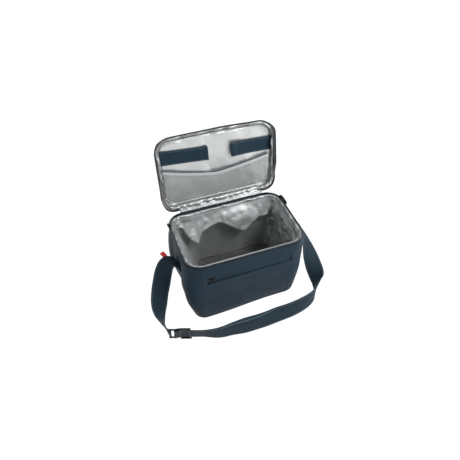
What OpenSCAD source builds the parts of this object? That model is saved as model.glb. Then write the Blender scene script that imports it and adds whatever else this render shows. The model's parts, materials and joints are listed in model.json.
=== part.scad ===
// Insulated cooler bag: a soft tapered tub with a padded, zipped lid, a front pocket
// and an adjustable webbing shoulder strap. Millimetres, +Z up, front towards -Y.
// The origin is the centre of the flat base, on the surface the bag stands on.

/* [Body] */
// Width of the mouth, outside
mouth_w = 270; // [250:1:285]
// Depth of the mouth, outside
mouth_d = 176; // [165:1:190]
// Height of the body's walls
body_h = 172; // [160:1:190]
// Width of the base as a share of the mouth
base_share_w = 0.90; // [0.85:0.01:1]
// Depth of the base as a share of the mouth
base_share_d = 0.885; // [0.85:0.005:1]
// Radius of the four upright corners
corner_r = 36; // [30:1:40]
// Radius of the body's corners at the base
base_corner_r = 24; // [22:1:36]
// Radius where the walls turn into the base
edge_r = 10; // [9:0.5:12]
// How far the soft walls belly out at mid height
belly = 3; // [0:0.5:4]

/* [Layers] */
// Outer fabric
fabric_t = 1.2; // [1:0.1:1.4]
// Foam insulation
foam_t = 7; // [7:0.5:8]
// Foil lining
foil_t = 0.8; // [0.6:0.1:0.8]
// Gap left between neighbouring layers
layer_gap = 0.2; // [0.1:0.05:0.2]

/* [Lid] */
// Angle of the lid from closed, as it stands
lid_open = 101; // [95:1:110]
// Height of the closed lid above the zip's centre line
lid_h = 27; // [26:0.5:32]
// How far the lid's outer panel rises at its middle
crown = 3; // [1:0.5:6]

/* [Zip] */
// Height of the zip's centre line above the body's walls
zip_rise = 5; // [5:0.5:6]

/* [Lid fittings] */
// Width of each holding band
band_w = 32; // [25:1:38]
// Distance of the left band's middle from the hinge
band_left_s = 126; // [124:1:140]
// Distance of the right band's middle from the hinge
band_right_s = 116; // [116:1:140]
// Distance of the pocket's hem from the hinge at mid width
hem_s = 80; // [74:1:80]
// How far the mesh stands off the lining at its mouth
mesh_gap = 9; // [7:0.5:9.5]

/* [Front pocket] */
// Width of the opening that the pocket's zip closes
window_w = 190; // [150:1:192]
// Height of that opening
window_h = 18; // [16:0.5:18]
// Height of the pocket zip above the base
pocket_z = 131; // [129:1:132]

/* [Strap] */
// Width of the webbing
strap_w = 40; // [36:1:40]
// Thickness of the webbing
strap_t = 1.8; // [1.4:0.1:2]

/* [Hidden] */

navy = [0.10, 0.16, 0.21];
dark = [0.05, 0.07, 0.09];
silver = [0.74, 0.75, 0.76];
grey = [0.35, 0.36, 0.37];
foam_white = [0.90, 0.90, 0.87];
red = [0.80, 0.12, 0.12];

corner_steps = 8;          // facets round each upright corner
shell_z0 = 0.3;            // lowest edge of the outer shell's wall
layer_top = body_h - 3;    // top edges of shell, foam and lining, under the lip
lip_proud = 0.6;           // how far a lip stands out past the fabric
zip_z = body_h + zip_rise; // zip's centre line
zip_end_y = 50;            // where the main zip stops, short of the hinge
coil_in = 0.9;             // zip centre line to the near side of the teeth
coil_out = 2.0;            // zip centre line to the far side of the teeth
tape_half = 0.6;           // half the thickness of the main zip's tape
tape_inset = 0.8;          // middle of the main zip's tape, in from the fabric's face

foam_in = fabric_t + layer_gap;
liner_in = foam_in + foam_t + layer_gap;
cavity_in = liner_in + foil_t;

// Heights of the rings that the body's walls are lofted through
wall_z = [shell_z0, 1, 2, 4, 7, edge_r, 35, 60, 85, 110, 150, layer_top];

hinge_gap = 1.0;           // hinge fabric's face, out from the mouth's back edge
hinge_t = 1.0;             // thickness of the hinge fabric
hinge_y = mouth_d / 2 + hinge_gap + hinge_t + 0.8;
hinge_half_w = mouth_w / 2 - corner_r;

// ---------- rings and skins ----------

// Rounded rectangle at height z, anticlockwise from above
function ring(w, d, r, z) = [
    for (q = [0:3]) for (i = [0:corner_steps])
        let (a = 90 * (q + i / corner_steps),
             sx = (q == 0 || q == 3) ? 1 : -1,
             sy = (q < 2) ? 1 : -1)
        [sx * (w / 2 - r) + r * cos(a), sy * (d / 2 - r) + r * sin(a), z]];

// Triangles between one ring of n points and the next; the last ring joins the first if looped
function sides(rings, n, looped) = [
    for (k = [0:rings - (looped ? 1 : 2)]) for (i = [0:n - 1])
        let (a = k * n + i,
             b = k * n + (i + 1) % n,
             c = ((k + 1) % rings) * n + (i + 1) % n,
             d = ((k + 1) % rings) * n + i)
        each [[a, d, c], [a, c, b]]];

// Closed skin over a list of rings, with end caps, or looped into a band
module skin(rings, looped = false) {
    n = len(rings[0]);
    first = [for (i = [0:n - 1]) i];
    last = [for (i = [n - 1:-1:0]) (len(rings) - 1) * n + i];
    polyhedron(points = [for (r = rings) each r],
               faces = concat(sides(len(rings), n, looped), looped ? [] : [first, last]),
               convexity = 10);
}

function share(z) = min(1, max(0, z / body_h));
function edge_in(z) = z < edge_r ? edge_r - sqrt(edge_r * edge_r - (edge_r - z) * (edge_r - z)) : 0;
function swell(z) = belly * sin(180 * share(z)) - edge_in(z);
// Half width and half depth of the body's outside at height z
function half_w(z) = mouth_w / 2 * (base_share_w + (1 - base_share_w) * share(z)) + swell(z);
function half_d(z) = mouth_d / 2 * (base_share_d + (1 - base_share_d) * share(z)) + swell(z);
// Corner radius of the body's outside at height z
function corner(z) = base_corner_r + (corner_r - base_corner_r) * share(z);
// Ring of the body's wall, a distance in from its outside
function wall(z, inset) =
    ring(2 * (half_w(z) - inset), 2 * (half_d(z) - inset), corner(z) - inset, z);
// Ring of the mouth or lid, a distance in from its outside
function rim(z, inset) =
    ring(mouth_w - 2 * inset, mouth_d - 2 * inset, corner_r - inset, z);

// Upright band that follows the mouth between two insets and two heights
module rim_band(z0, z1, inset0, inset1) {
    skin([rim(z0, inset0), rim(z1, inset0), rim(z1, inset1), rim(z0, inset1)], looped = true);
}

// Flat plate with exact round corners
module plate(w, d, r, z0, z1) {
    translate([0, 0, z0]) linear_extrude(z1 - z0) {
        square([w - 2 * r, d], center = true);
        square([w, d - 2 * r], center = true);
        for (sx = [-1, 1]) for (sy = [-1, 1])
            translate([sx * (w / 2 - r), sy * (d / 2 - r)]) circle(r, $fn = 48);
    }
}

// ---------- body ----------

module outer_shell() {
    color(navy) difference() {
        skin(concat([for (z = wall_z) wall(z, 0)],
                    [for (i = [len(wall_z) - 1:-1:0]) wall(wall_z[i], fabric_t)]), looped = true);
        on_front() translate([window_x - window_w / 2, -4, -window_h / 2])
            cube([window_w, 8, window_h]);
    }
}

base_gap = 0.4;
base_in = edge_in(shell_z0) + fabric_t + base_gap;
base_w = 2 * (mouth_w / 2 * base_share_w - base_in);
base_d = 2 * (mouth_d / 2 * base_share_d - base_in);
base_r = base_corner_r - fabric_t - base_gap;

module base_panel() {
    color(navy) plate(base_w, base_d, base_r, 0, 1.2);
}

module base_board() {
    color(grey) plate(base_w, base_d, base_r, 1.4, 3.4);
}

module foam_base() {
    color(foam_white) plate(base_w + 8, base_d + 8, base_r + 4, 3.8, 9.8);
}

module foam_wrap() {
    zs = [for (z = wall_z) if (z >= edge_r) z];
    color(foam_white) difference() {
        skin(concat([for (z = zs) wall(z, foam_in)],
                    [for (i = [len(zs) - 1:-1:0]) wall(zs[i], foam_in + foam_t)]), looped = true);
        front_extrude(window_w + 8, [[43, foam_in - 1], [85, foam_in - 1], [110, foam_in - 1],
            [148, foam_in - 1], [148, bag_back + 0.3], [110, bag_back + 0.3],
            [85, bag_back + 0.3], [43, bag_back + 0.3]]);
    }
}

module liner() {
    floor_z = 10;
    up = [for (z = wall_z) if (z > edge_r) z];
    color(silver) skin(concat(
        [wall(floor_z, liner_in)],
        [for (z = up) wall(z, liner_in)],
        [for (i = [len(up) - 1:-1:0]) wall(up[i], cavity_in)],
        [wall(floor_z + foil_t, cavity_in)]));
}

module rim_lip() {
    color(silver) rim_band(layer_top + layer_gap, body_h, -lip_proud, cavity_in + 0.4);
}

// ---------- main zip ----------

// Path round the left, front and right of the mouth, a distance in from its outside
function zip_path(inset) =
    let (w = mouth_w / 2 - inset, d = mouth_d / 2 - inset, r = corner_r - inset)
    concat([[-w, zip_end_y]],
        [for (i = [0:corner_steps]) let (a = 180 + 90 * i / corner_steps)
            [-(w - r) + r * cos(a), -(d - r) + r * sin(a)]],
        [for (i = [0:corner_steps]) let (a = 270 + 90 * i / corner_steps)
            [w - r + r * cos(a), -(d - r) + r * sin(a)]],
        [[w, zip_end_y]]);

module zip_band(z0, z1, half) {
    outer = zip_path(tape_inset - half);
    inner = zip_path(tape_inset + half);
    skin([for (i = [0:len(outer) - 1]) [
        [outer[i].x, outer[i].y, z0], [inner[i].x, inner[i].y, z0],
        [inner[i].x, inner[i].y, z1], [outer[i].x, outer[i].y, z1]]]);
}

module body_zip_tape() {
    color(dark) zip_band(body_h, zip_z - coil_out, tape_half);
}

module body_zip_coil() {
    color(dark) zip_band(zip_z - coil_out, zip_z - coil_in, tape_half - 0.1);
}

// Zip slider: two plates joined by a thin neck that runs between the rows of teeth, and a
// bridge for the pull. X runs along the zip, Y out of the fabric, Z across the zip.
plate_half_l = 5;
plate_half_v = 4;
bar_y = 2.95;              // axis of the pull's bar, under the bridge

module zip_slider() {
    for (y = [-2, 1])
        translate([-plate_half_l, y, -plate_half_v]) cube([2 * plate_half_l, 1, 2 * plate_half_v]);
    translate([-1.5, -1.5, -0.5]) cube([3, 3, 1]);
    for (s = [-1, 1])
        translate([s * 3.6 - 0.6, 1.5, -0.7]) cube([1.2, 3.3, 1.4]);
    translate([-4.2, 3.8, -0.7]) cube([8.4, 1, 1.4]);
}

// Zip pull: a bar under the bridge, two arms and a tab of the given length
module zip_pull(length) {
    arm_l = 7;
    translate([0, bar_y, -3.3]) cylinder(h = 6.6, r = 0.65, $fn = 24);
    for (s = [-1, 1])
        translate([0, bar_y - 0.65, s * 2.6 - 0.7]) cube([arm_l, 1.3, 1.4]);
    translate([arm_l - 1, bar_y - 0.65, -3.8]) cube([length - arm_l - 2.8, 1.3, 7.6]);
    translate([length - 3.8, bar_y + 0.65, 0]) rotate([90, 0, 0])
        cylinder(h = 1.3, r = 3.8, $fn = 32);
}

// Main sliders rest past the zip's ends, their pulls pointing forwards
slider_y = zip_end_y + 7;
slider_x = mouth_w / 2 - tape_inset;

module on_side(side) {
    mirror([side < 0 ? 1 : 0, 0, 0])
        translate([slider_x, slider_y, zip_z]) rotate([0, 0, -90]) children();
}

module slider_left() { color(dark) on_side(-1) zip_slider(); }
module slider_right() { color(dark) on_side(1) zip_slider(); }
module pull_left() { color(dark) on_side(-1) zip_pull(26); }
module pull_right() { color(dark) on_side(1) zip_pull(26); }

// ---------- hinge ----------

// The hinge fabric is one strip, cut here along its fold
module hinge_body_half() {
    color(navy) translate([-hinge_half_w, mouth_d / 2 + hinge_gap, zip_z - 19])
        cube([2 * hinge_half_w, hinge_t, 18.7]);
}

module hinge_lid_half() {
    color(navy) lid_pose() translate([-hinge_half_w, mouth_d / 2 + hinge_gap, zip_z + 0.3])
        cube([2 * hinge_half_w, hinge_t, 13.7]);
}

// ---------- front pocket ----------

window_x = 2;              // middle of the pocket's opening
front_y0 = half_d(110);
front_y1 = half_d(150);
front_tilt = atan((front_y1 - front_y0) / 40);
front_y = front_y0 + (front_y1 - front_y0) * (pocket_z - 110) / 40;
front_zip_in = fabric_t + 0.7; // middle of the pocket zip, in from the fabric's face
bag_front = 2.4;           // pocket lining's front sheet, in from the fabric's face
bag_back = 5.6;            // back of the pocket lining, in from the fabric's face
bag_t = 0.5;               // pocket lining's thickness
front_slider_x = -84;

// Frame on the front wall at the pocket zip: Y points into the bag, Z up the wall
module on_front() {
    translate([0, -front_y, pocket_z]) rotate([front_tilt, 0, 0]) children();
}

// Solid of constant profile across the front, given as [height, inset] pairs
module front_extrude(w, profile) {
    translate([window_x - w / 2, 0, 0]) rotate([90, 0, 90]) linear_extrude(w)
        polygon([for (p = profile) [-(half_d(p[0]) - p[1]), p[0]]]);
}

module pocket_bag() {
    zs = [46, 60, 85, 110];
    inner_front = bag_front + bag_t;
    inner_back = bag_back - bag_t;
    color(grey) front_extrude(window_w + 4, concat(
        [[45, bag_front]], [for (z = zs) [z, bag_front]], [[118, bag_front], [118, inner_front]],
        [for (i = [3:-1:0]) [zs[i], inner_front]],
        [for (z = zs) [z, inner_back]], [[146, inner_back], [146, bag_back]],
        [for (i = [3:-1:0]) [zs[i], bag_back]], [[45, bag_back]]));
}

// Upper and lower strip either side of the pocket zip's centre line
module front_strips(x0, x1, v0, v1, half) {
    for (s = [-1, 1])
        on_front() translate([x0, front_zip_in - half, s > 0 ? v0 : -v1])
            cube([x1 - x0, 2 * half, v1 - v0]);
}

module front_zip_tapes() {
    color(dark) front_strips(window_x - window_w / 2 - 3, window_x + window_w / 2 + 3,
        coil_out, 12, 0.4);
}

module front_zip_coils() {
    color(dark) front_strips(front_slider_x + 6, window_x + window_w / 2 - 1,
        coil_in, coil_out, 0.5);
}

module on_front_zip(side) {
    on_front() translate([front_slider_x, front_zip_in, 0]) mirror([0, 1, 0])
        mirror([side < 0 ? 1 : 0, 0, 0]) children();
}

module front_slider() { color(dark) on_front_zip(1) zip_slider(); }
module front_pull() { color(dark) on_front_zip(-1) zip_pull(15); }

// ---------- lid, drawn closed and then opened about the hinge ----------

module lid_pose() {
    translate([0, hinge_y, zip_z]) rotate([-lid_open, 0, 0]) translate([0, -hinge_y, -zip_z])
        children();
}

lip_h = 5;                 // lid's lip above the zip's centre line
lid_edge_r = 6;            // rounded edge round the lid's outer panel
gusset_h = lid_h - 1.2;    // top of the gusset
recess_h = lid_h - 13;     // lining panel inside the lid

function lid_edge_in(h) = let (up = h - (gusset_h + 1.2 - lid_edge_r))
    up > 0 ? lid_edge_r - sqrt(lid_edge_r * lid_edge_r - up * up) : 0;

module lid_gusset() {
    hs = [lip_h + 3, 14, lid_h - 6, lid_h - 4, lid_h - 2.4, gusset_h];
    color(navy) lid_pose() skin(concat(
        [for (h = hs) rim(zip_z + h, lid_edge_in(h))],
        [for (i = [len(hs) - 1:-1:0]) rim(zip_z + hs[i], lid_edge_in(hs[i]) + fabric_t)]),
        looped = true);
}

module lid_top() {
    start = lid_edge_in(gusset_h) + fabric_t + 0.2;
    color(navy) lid_pose() skin([
        rim(zip_z + lid_h - 2, start), rim(zip_z + lid_h - 0.6, start),
        rim(zip_z + lid_h + 0.5 * crown, 0.4 * corner_r),
        rim(zip_z + lid_h + 0.9 * crown, 0.9 * corner_r),
        ring(mouth_w * 0.55, mouth_d * 0.35, 10, zip_z + lid_h + crown)]);
}

module lid_foam() {
    color(foam_white) lid_pose() skin([
        rim(zip_z + recess_h + 1, foam_in + foam_t), rim(zip_z + lip_h + 3, foam_in + foam_t),
        rim(zip_z + lip_h + 3, foam_in), rim(zip_z + lid_h - 6, foam_in),
        rim(zip_z + lid_h - 2.2, foam_in + 2.6)]);
}

module lid_liner() {
    color(silver) lid_pose() skin([
        rim(zip_z + recess_h, cavity_in), rim(zip_z + lip_h + 3, cavity_in),
        rim(zip_z + lip_h + 3, liner_in), rim(zip_z + recess_h + foil_t, liner_in)]);
}

module lid_lip() {
    color(silver) lid_pose()
        rim_band(zip_z + lip_h, zip_z + lip_h + 3 - layer_gap, -lip_proud, cavity_in + 0.4);
}

module lid_zip_tape() {
    color(dark) lid_pose() zip_band(zip_z + coil_out, zip_z + lip_h, tape_half);
}

module lid_zip_coil() {
    color(dark) lid_pose() zip_band(zip_z + coil_in, zip_z + coil_out, tape_half - 0.1);
}

// ---------- mesh pocket in the lid ----------

mesh_half_w = 124;
mesh_s0 = 14;              // pocket's sewn bottom edge, from the hinge
mesh_t = 0.8;
hem_h = 6;                 // height of the elastic hem
// Sections across the pocket, closer together where its bottom corners turn
mesh_xs = [-1, -0.94, -0.82, -0.55, -0.28, 0, 0.28, 0.55, 0.82, 0.94, 1] * mesh_half_w;

// Distance of the hem's free edge from the hinge, and how far it stands off the lining
function hem_edge(x) = hem_s + 20 * pow(x / mesh_half_w, 2);
function hem_off(x) = 0.2 + (mesh_gap - 0.2) * (1 - pow(x / mesh_half_w, 2));
// Distance of the sewn bottom edge from the hinge: it follows the lid's round back corners
function mesh_foot(x) =
    let (r = corner_r - cavity_in, past = max(0, abs(x) - (mouth_w / 2 - corner_r)))
    mesh_s0 + r - sqrt(r * r - past * past);
// Point of the closed lid's inside, from its distance to the hinge and depth off the lining
function lid_point(x, s, off) = [x, hinge_y - s, zip_z + recess_h - off];

module mesh_pocket() {
    color(grey) lid_pose() skin([for (x = mesh_xs)
        let (top = hem_edge(x) - hem_h, foot = mesh_foot(x), mid = (foot + top) / 2,
             off = hem_off(x))
        [lid_point(x, top, off + mesh_t), lid_point(x, mid, 0.75 * off + mesh_t),
         lid_point(x, foot, 0.2 + mesh_t), lid_point(x, foot, 0.2),
         lid_point(x, mid, 0.75 * off), lid_point(x, top, off)]]);
}

module mesh_hem() {
    color(silver) lid_pose() skin([for (x = mesh_xs) let (top = hem_edge(x), off = hem_off(x))
        [lid_point(x, top, off + 1.4), lid_point(x, top - hem_h, off + 1.4),
         lid_point(x, top - hem_h, off), lid_point(x, top, off)]]);
}

// ---------- holding bands in the lid ----------

band_t = 1.4;
band_off = 2.4;            // band's back, off the lining
band_root = 121.5;         // sewn end of each band, from the lid's middle
left_tip = -17;
right_tip = 34;
pad_t = 1.0;
pad_l = 24;

// Box on the lid's lining, in the bands' line, between two widths and two depths
module lid_block(x0, x1, s_half, off0, off1) {
    s = x0 + x1 < 0 ? band_left_s : band_right_s;
    lid_pose() translate([min(x0, x1), hinge_y - s - s_half, zip_z + recess_h - off1])
        cube([abs(x1 - x0), 2 * s_half, off1 - off0]);
}

module band(root, tip) {
    color(navy) lid_block(root, tip, band_w / 2, band_off, band_off + band_t);
}

module loop_pad(tip, inward) {
    color(dark) lid_block(tip + inward * 2, tip + inward * (pad_l + 2), band_w / 2 - 2, 0.1,
        0.1 + pad_t);
}

module hook_pad(tip, inward) {
    color(dark) lid_block(tip + inward * 2, tip + inward * (pad_l + 2), band_w / 2 - 2,
        band_off - pad_t, band_off);
}

module band_left() { band(-band_root, left_tip); }
module band_right() { band(band_root, right_tip); }
module hook_pad_left() { hook_pad(left_tip, -1); }
module hook_pad_right() { hook_pad(right_tip, 1); }
module loop_pad_left() { loop_pad(left_tip, -1); }
module loop_pad_right() { loop_pad(right_tip, 1); }

// ---------- shoulder strap ----------

// Sewn patch on a side wall, which the strap's end lies on
anchor_zs = [48, 98];
anchor_half_w = 24;
anchor_t = 1.2;

module strap_anchor(side) {
    color(navy) mirror([side < 0 ? 1 : 0, 0, 0]) skin([for (z = anchor_zs)
        let (x = half_w(z) + 0.4, y = 4)
        [[x, y - anchor_half_w, z], [x + anchor_t, y - anchor_half_w, z],
         [x + anchor_t, y + anchor_half_w, z], [x, y + anchor_half_w, z]]]);
}

module strap_anchor_left() { strap_anchor(-1); }
module strap_anchor_right() { strap_anchor(1); }

// The straight run beside the buckle: start, direction along it and direction across the webbing
run_start = [-181, -118, 24.2];
run_dir = [0.938, -0.346, 0];
run_across = [0, 0.25, -0.97];
function run(u) = run_start + u * run_dir;

// Middle of the webbing and the direction across it, from the bag's side to the buckle
short_route = [
    [[-130.7, 4, 52], [0, -1, 0]], [[-132.8, 4, 72], [0, -1, 0]],
    [[-135.4, 4, 96], [0, -1, 0]], [[-141, 4, 112], [0.1, -1, 0]],
    [[-152, 4, 119], [0.35, -0.95, 0]], [[-164, 0, 114], [0.6, -0.8, -0.1]],
    [[-173, -8, 102], [0.8, -0.5, -0.1]], [[-181, -19, 87], [0.9, -0.3, -0.1]],
    [[-190, -32, 70], [0.9, -0.1, -0.3]], [[-197, -46, 54], [0.8, -0.1, -0.5]],
    [[-202, -62, 41], [0.6, -0.1, -0.8]], [[-203, -80, 31], [0.35, -0.2, -0.9]],
    [[-200, -96, 26], [0.3, -0.2, -0.9]], [[-196, -111, 24.2], [0.2, 0, -0.97]]];
long_route = concat([
    [[130.7, 4, 52], [0, -1, 0]], [[132.8, 4, 72], [0, -1, 0]], [[135.4, 4, 96], [0, -1, 0]],
    [[140, 4, 114], [0, -1, 0]], [[150, 3, 124], [0, -1, 0]], [[159, 0, 121], [-0.15, -1, -0.1]],
    [[165, -6, 108], [-0.3, -0.95, -0.15]], [[170, -14, 92], [-0.45, -0.85, -0.25]],
    [[174, -24, 74], [-0.6, -0.7, -0.35]], [[177, -37, 56], [-0.75, -0.5, -0.4]],
    [[179, -53, 39], [-0.8, -0.3, -0.5]], [[179, -71, 27], [-0.75, -0.1, -0.65]],
    [[174, -89, 20.2], [-0.5, 0, -0.85]], [[163, -107, 20.6], [-0.25, -0.05, -0.97]],
    [[148, -123, 20.6], [0, -0.1, -1]], [[130, -133, 20.4], [0.05, -0.18, -0.98]],
    [[104, -140, 20], [0.03, -0.28, -0.96]], [[76, -144, 19.8], [0, -0.32, -0.95]],
    [[43, -146, 19.8], [0, -0.34, -0.94]], [[20, -149, 20], [0, -0.27, -0.96]],
    [[-5, -151, 20.4], [0, -0.18, -0.98]], [[-31, -151, 20.6], [0, -0.17, -0.98]],
    [[-60, -149, 20.8], [0, -0.05, -1]], [[-92, -147, 21.2], [0, 0.05, -1]]],
    [for (u = [60, 30, 0]) [run(u), run_across]]);
strap_steps = 3;           // sections of webbing between route points
strap_across = [-1, -0.33, 0.33, 1] * strap_w / 2; // points across each section

function unit(v) = v / norm(v);
function smooth(a, b, c, d, t) =
    0.5 * (2 * b + (c - a) * t + (2 * a - 5 * b + 4 * c - d) * t * t
        + (3 * b - a - 3 * c + d) * t * t * t);
function spline(route, k) = let (n = len(route) - 1) [
    for (i = [0:n - 1]) for (j = [0:strap_steps - (i == n - 1 ? 0 : 1)])
        smooth(route[max(i - 1, 0)][k], route[i][k], route[i + 1][k], route[min(i + 2, n)][k],
            j / strap_steps)];

module webbing(route, thickness = strap_t) {
    at = spline(route, 0);
    wide = spline(route, 1);
    n = len(at) - 1;
    color(navy) skin([for (i = [0:n])
        let (along = unit(at[min(i + 1, n)] - at[max(i - 1, 0)]),
             flat = unit(wide[i] - (wide[i] * along) * along),
             t = cross(along, flat) * thickness / 2)
        [for (side = [1, -1]) for (v = strap_across) at[i] - side * v * flat + side * t]]);
}

// Frame on the straight run: X along it, Y through the webbing towards the bag, Z up across it
module on_run(u) {
    along = unit(run_dir);
    up = -unit(run_across - (run_across * along) * along);
    in = cross(up, along);
    p = run(u);
    multmatrix([[along.x, in.x, up.x, p.x], [along.y, in.y, up.y, p.y],
        [along.z, in.z, up.z, p.z], [0, 0, 0, 1]]) children();
}

ring_r = 1.6;              // half the thickness of the ring's bars
ring_l = 12.8;             // between the ring's two upright bars
ring_half_h = 21.8;        // from the ring's middle to its cross bars
ring_u = -1.4;             // bar that the long strap turns round
slider_u = 20;             // middle of the three-bar slider
rail_v = 20.7;             // slider's inner edge across the webbing
layer_n = 4.5;             // return layer, behind the main webbing

module strap_short() { webbing(short_route); }
module strap_long() { webbing(long_route); }

module strap_return() {
    color(navy) on_run(0) translate([0, layer_n - strap_t / 2, -strap_w / 2])
        cube([slider_u, strap_t, strap_w]);
}

module strap_ring() {
    color(dark) on_run(ring_u) translate([-ring_l / 2, ring_r, 0]) rotate([90, 0, 0])
        linear_extrude(2 * ring_r) difference() {
            square([ring_l + 2 * ring_r, 2 * (ring_half_h + ring_r)], center = true);
            square([ring_l - 2 * ring_r, 2 * (ring_half_h - ring_r)], center = true);
        }
}

module strap_slider() {
    color(dark) on_run(slider_u) {
        for (s = [-1, 1]) {
            translate([s * 10.6 - 1.4, -3.4, -rail_v]) cube([2.8, 2, 2 * rail_v]);
            translate([-12, -3.4, s > 0 ? rail_v : -rail_v - 2.4]) cube([24, 6.8, 2.4]);
        }
        translate([-1.5, 1.4, -rail_v]) cube([3, 2, 2 * rail_v]);
    }
}

// Folded tab sewn to the strap's back edge where it turns over
module red_tab() {
    color(red) translate([-159.1, 23.7, 119.6]) rotate([0, 0, 110]) rotate([8, 0, 0])
        translate([0, -5, -0.9]) {
            cube([9, 10, 1.8]);
            translate([9, 5, 0]) cylinder(h = 1.8, r = 5, $fn = 32);
        }
}

outer_shell();
base_panel();
base_board();
foam_wrap();
foam_base();
liner();
rim_lip();
body_zip_tape();
body_zip_coil();
hinge_body_half();
hinge_lid_half();
pocket_bag();
front_zip_tapes();
front_zip_coils();
front_slider();
front_pull();
slider_left();
pull_left();
slider_right();
pull_right();
strap_anchor_left();
strap_anchor_right();
strap_short();
strap_long();
strap_return();
strap_ring();
strap_slider();
red_tab();
lid_top();
lid_gusset();
lid_foam();
lid_liner();
lid_lip();
lid_zip_tape();
lid_zip_coil();
mesh_pocket();
mesh_hem();
loop_pad_left();
loop_pad_right();
band_left();
band_right();
hook_pad_left();
hook_pad_right();
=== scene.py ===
"""Insulated cooler bag: the looks of its fabric, foil, net, webbing and hardware.

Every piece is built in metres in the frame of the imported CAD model, +Z up and front towards -Y.
"""
import json
import math

import bmesh
import bpy
import numpy as np
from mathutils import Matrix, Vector


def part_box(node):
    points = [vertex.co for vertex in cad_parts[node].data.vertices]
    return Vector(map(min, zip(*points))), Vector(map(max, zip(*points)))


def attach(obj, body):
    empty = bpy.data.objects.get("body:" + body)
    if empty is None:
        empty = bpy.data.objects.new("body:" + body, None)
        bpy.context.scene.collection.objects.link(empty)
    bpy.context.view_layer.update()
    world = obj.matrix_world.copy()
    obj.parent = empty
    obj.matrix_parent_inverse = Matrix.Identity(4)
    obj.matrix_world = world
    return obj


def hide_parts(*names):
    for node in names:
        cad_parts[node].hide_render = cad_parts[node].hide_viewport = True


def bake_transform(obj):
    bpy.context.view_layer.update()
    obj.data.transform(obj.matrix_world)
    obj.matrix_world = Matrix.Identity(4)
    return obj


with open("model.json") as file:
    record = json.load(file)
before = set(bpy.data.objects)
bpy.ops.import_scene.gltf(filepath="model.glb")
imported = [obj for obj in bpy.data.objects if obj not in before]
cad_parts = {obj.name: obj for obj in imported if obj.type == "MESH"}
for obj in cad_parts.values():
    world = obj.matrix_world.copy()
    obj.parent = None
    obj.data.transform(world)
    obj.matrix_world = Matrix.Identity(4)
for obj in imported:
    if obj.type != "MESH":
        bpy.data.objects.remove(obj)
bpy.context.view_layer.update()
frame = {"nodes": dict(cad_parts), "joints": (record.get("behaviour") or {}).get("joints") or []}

# ---------- driving sizes ----------

MM = 0.001
joints = {j["name"]: j for j in frame["joints"]}
HINGE_Y, ZIP_Z = joints["lid_hinge"]["pos_m"][1:]
LID_OPEN = -math.radians(joints["lid_hinge"]["range_deg"][0])

lip_low, lip_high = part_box("rim_lip")
LIP_PROUD = 0.6 * MM
MOUTH_W = lip_high.x - lip_low.x - 2 * LIP_PROUD
MOUTH_D = lip_high.y - lip_low.y - 2 * LIP_PROUD
BODY_H = lip_high.z
WALL_TOP = lip_low.z
CORNER_R = 36 * MM
BASE_CORNER_R = 24 * MM
EDGE_R = 6 * MM
BELLY = 3 * MM              # how far the walls swell at mid height
BASE_SHARE = (0.90, 0.885)  # base's width and depth, as shares of the mouth's
CAVITY_IN = 9.4 * MM        # inside of the lining, in from the fabric's face
RECESS_H = 14 * MM          # lining panel inside the closed lid
CROWN = 3 * MM              # rise of the lid's outer panel towards its middle
HINGE_HALF_W = MOUTH_W / 2 - CORNER_R
FABRIC_T = 1.2 * MM
FOIL_T = 0.5 * MM
STRAP_W = 40 * MM
STRAP_T = 1.8 * MM


# ---------- noise ----------

def cells(x, y, cell, seed, wrap):
    """Positions within the cells of a fixed random lattice, and the values at the cells' corners. wrap is the
    number of cells round a ring."""
    lattice = np.random.default_rng(seed).uniform(-1, 1, (wrap, 64))
    x, y = np.asarray(x) / cell, np.asarray(y) / cell
    i, j = np.floor(x).astype(int), np.floor(y).astype(int)

    def at(a, b):
        return lattice[a % wrap, b % 64]
    return x - i, y - j, at(i, j), at(i + 1, j), at(i, j + 1), at(i + 1, j + 1)


def noise(x, y, cell, seed, wrap=64):
    """Smooth noise from -1 to 1 on a plane, with bumps about a cell wide."""
    fx, fy, v00, v10, v01, v11 = cells(x, y, cell, seed, wrap)
    fx, fy = fx * fx * (3 - 2 * fx), fy * fy * (3 - 2 * fy)
    return (v00 * (1 - fx) + v10 * fx) * (1 - fy) + (v01 * (1 - fx) + v11 * fx) * fy


def facets(x, y, cell, seed, wrap=64):
    """Creased noise: flat triangular facets that meet in sharp ridges, as in crumpled foil."""
    x = x + 0.45 * cell * noise(x, y, 1.3 * cell, seed + 1)
    y = y + 0.45 * cell * noise(x, y, 1.1 * cell, seed + 2)
    fx, fy, v00, v10, v01, v11 = cells(x, y, cell, seed, wrap)
    lower = v00 + fx * (v10 - v00) + fy * (v01 - v00)
    upper = v11 + (1 - fx) * (v01 - v11) + (1 - fy) * (v10 - v11)
    return np.where(fx + fy < 1, lower, upper)


def bump(x, middle, width):
    """Bell curve, 1 at its middle."""
    return np.exp(-((x - middle) / width) ** 2)


def ease(x, start, end):
    """Smooth step from 0 at start to 1 at end."""
    t = np.clip((x - start) / (end - start), 0, 1)
    return t * t * (3 - 2 * t)


# ---------- meshes ----------

def grid(points, uv, wrap=False, keep=None):
    """Part of a mesh: quads over rows and columns of points. With wrap the last column joins the first,
    and uv has one column more. The quads where keep is false are left out."""
    rows, cols = points.shape[:2]
    r, c = np.meshgrid(np.arange(rows - 1), np.arange(cols if wrap else cols - 1), indexing="ij")
    if keep is not None:
        r, c = r[keep], c[keep]
    r, c = r.ravel(), c.ravel()
    n = (c + 1) % cols
    faces = np.stack([r * cols + c, r * cols + n, (r + 1) * cols + n, (r + 1) * cols + c], 1)
    corners = np.stack([uv[r, c], uv[r, c + 1], uv[r + 1, c + 1], uv[r + 1, c]], 1)
    return points.reshape(-1, 3), faces.tolist(), corners.reshape(-1, 2)


def sheet_uv(rows, across):
    """UVs for a grid from the place of each row and each column."""
    v, u = np.meshgrid(rows, across, indexing="ij")
    return np.stack([u, v], -1)


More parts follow.
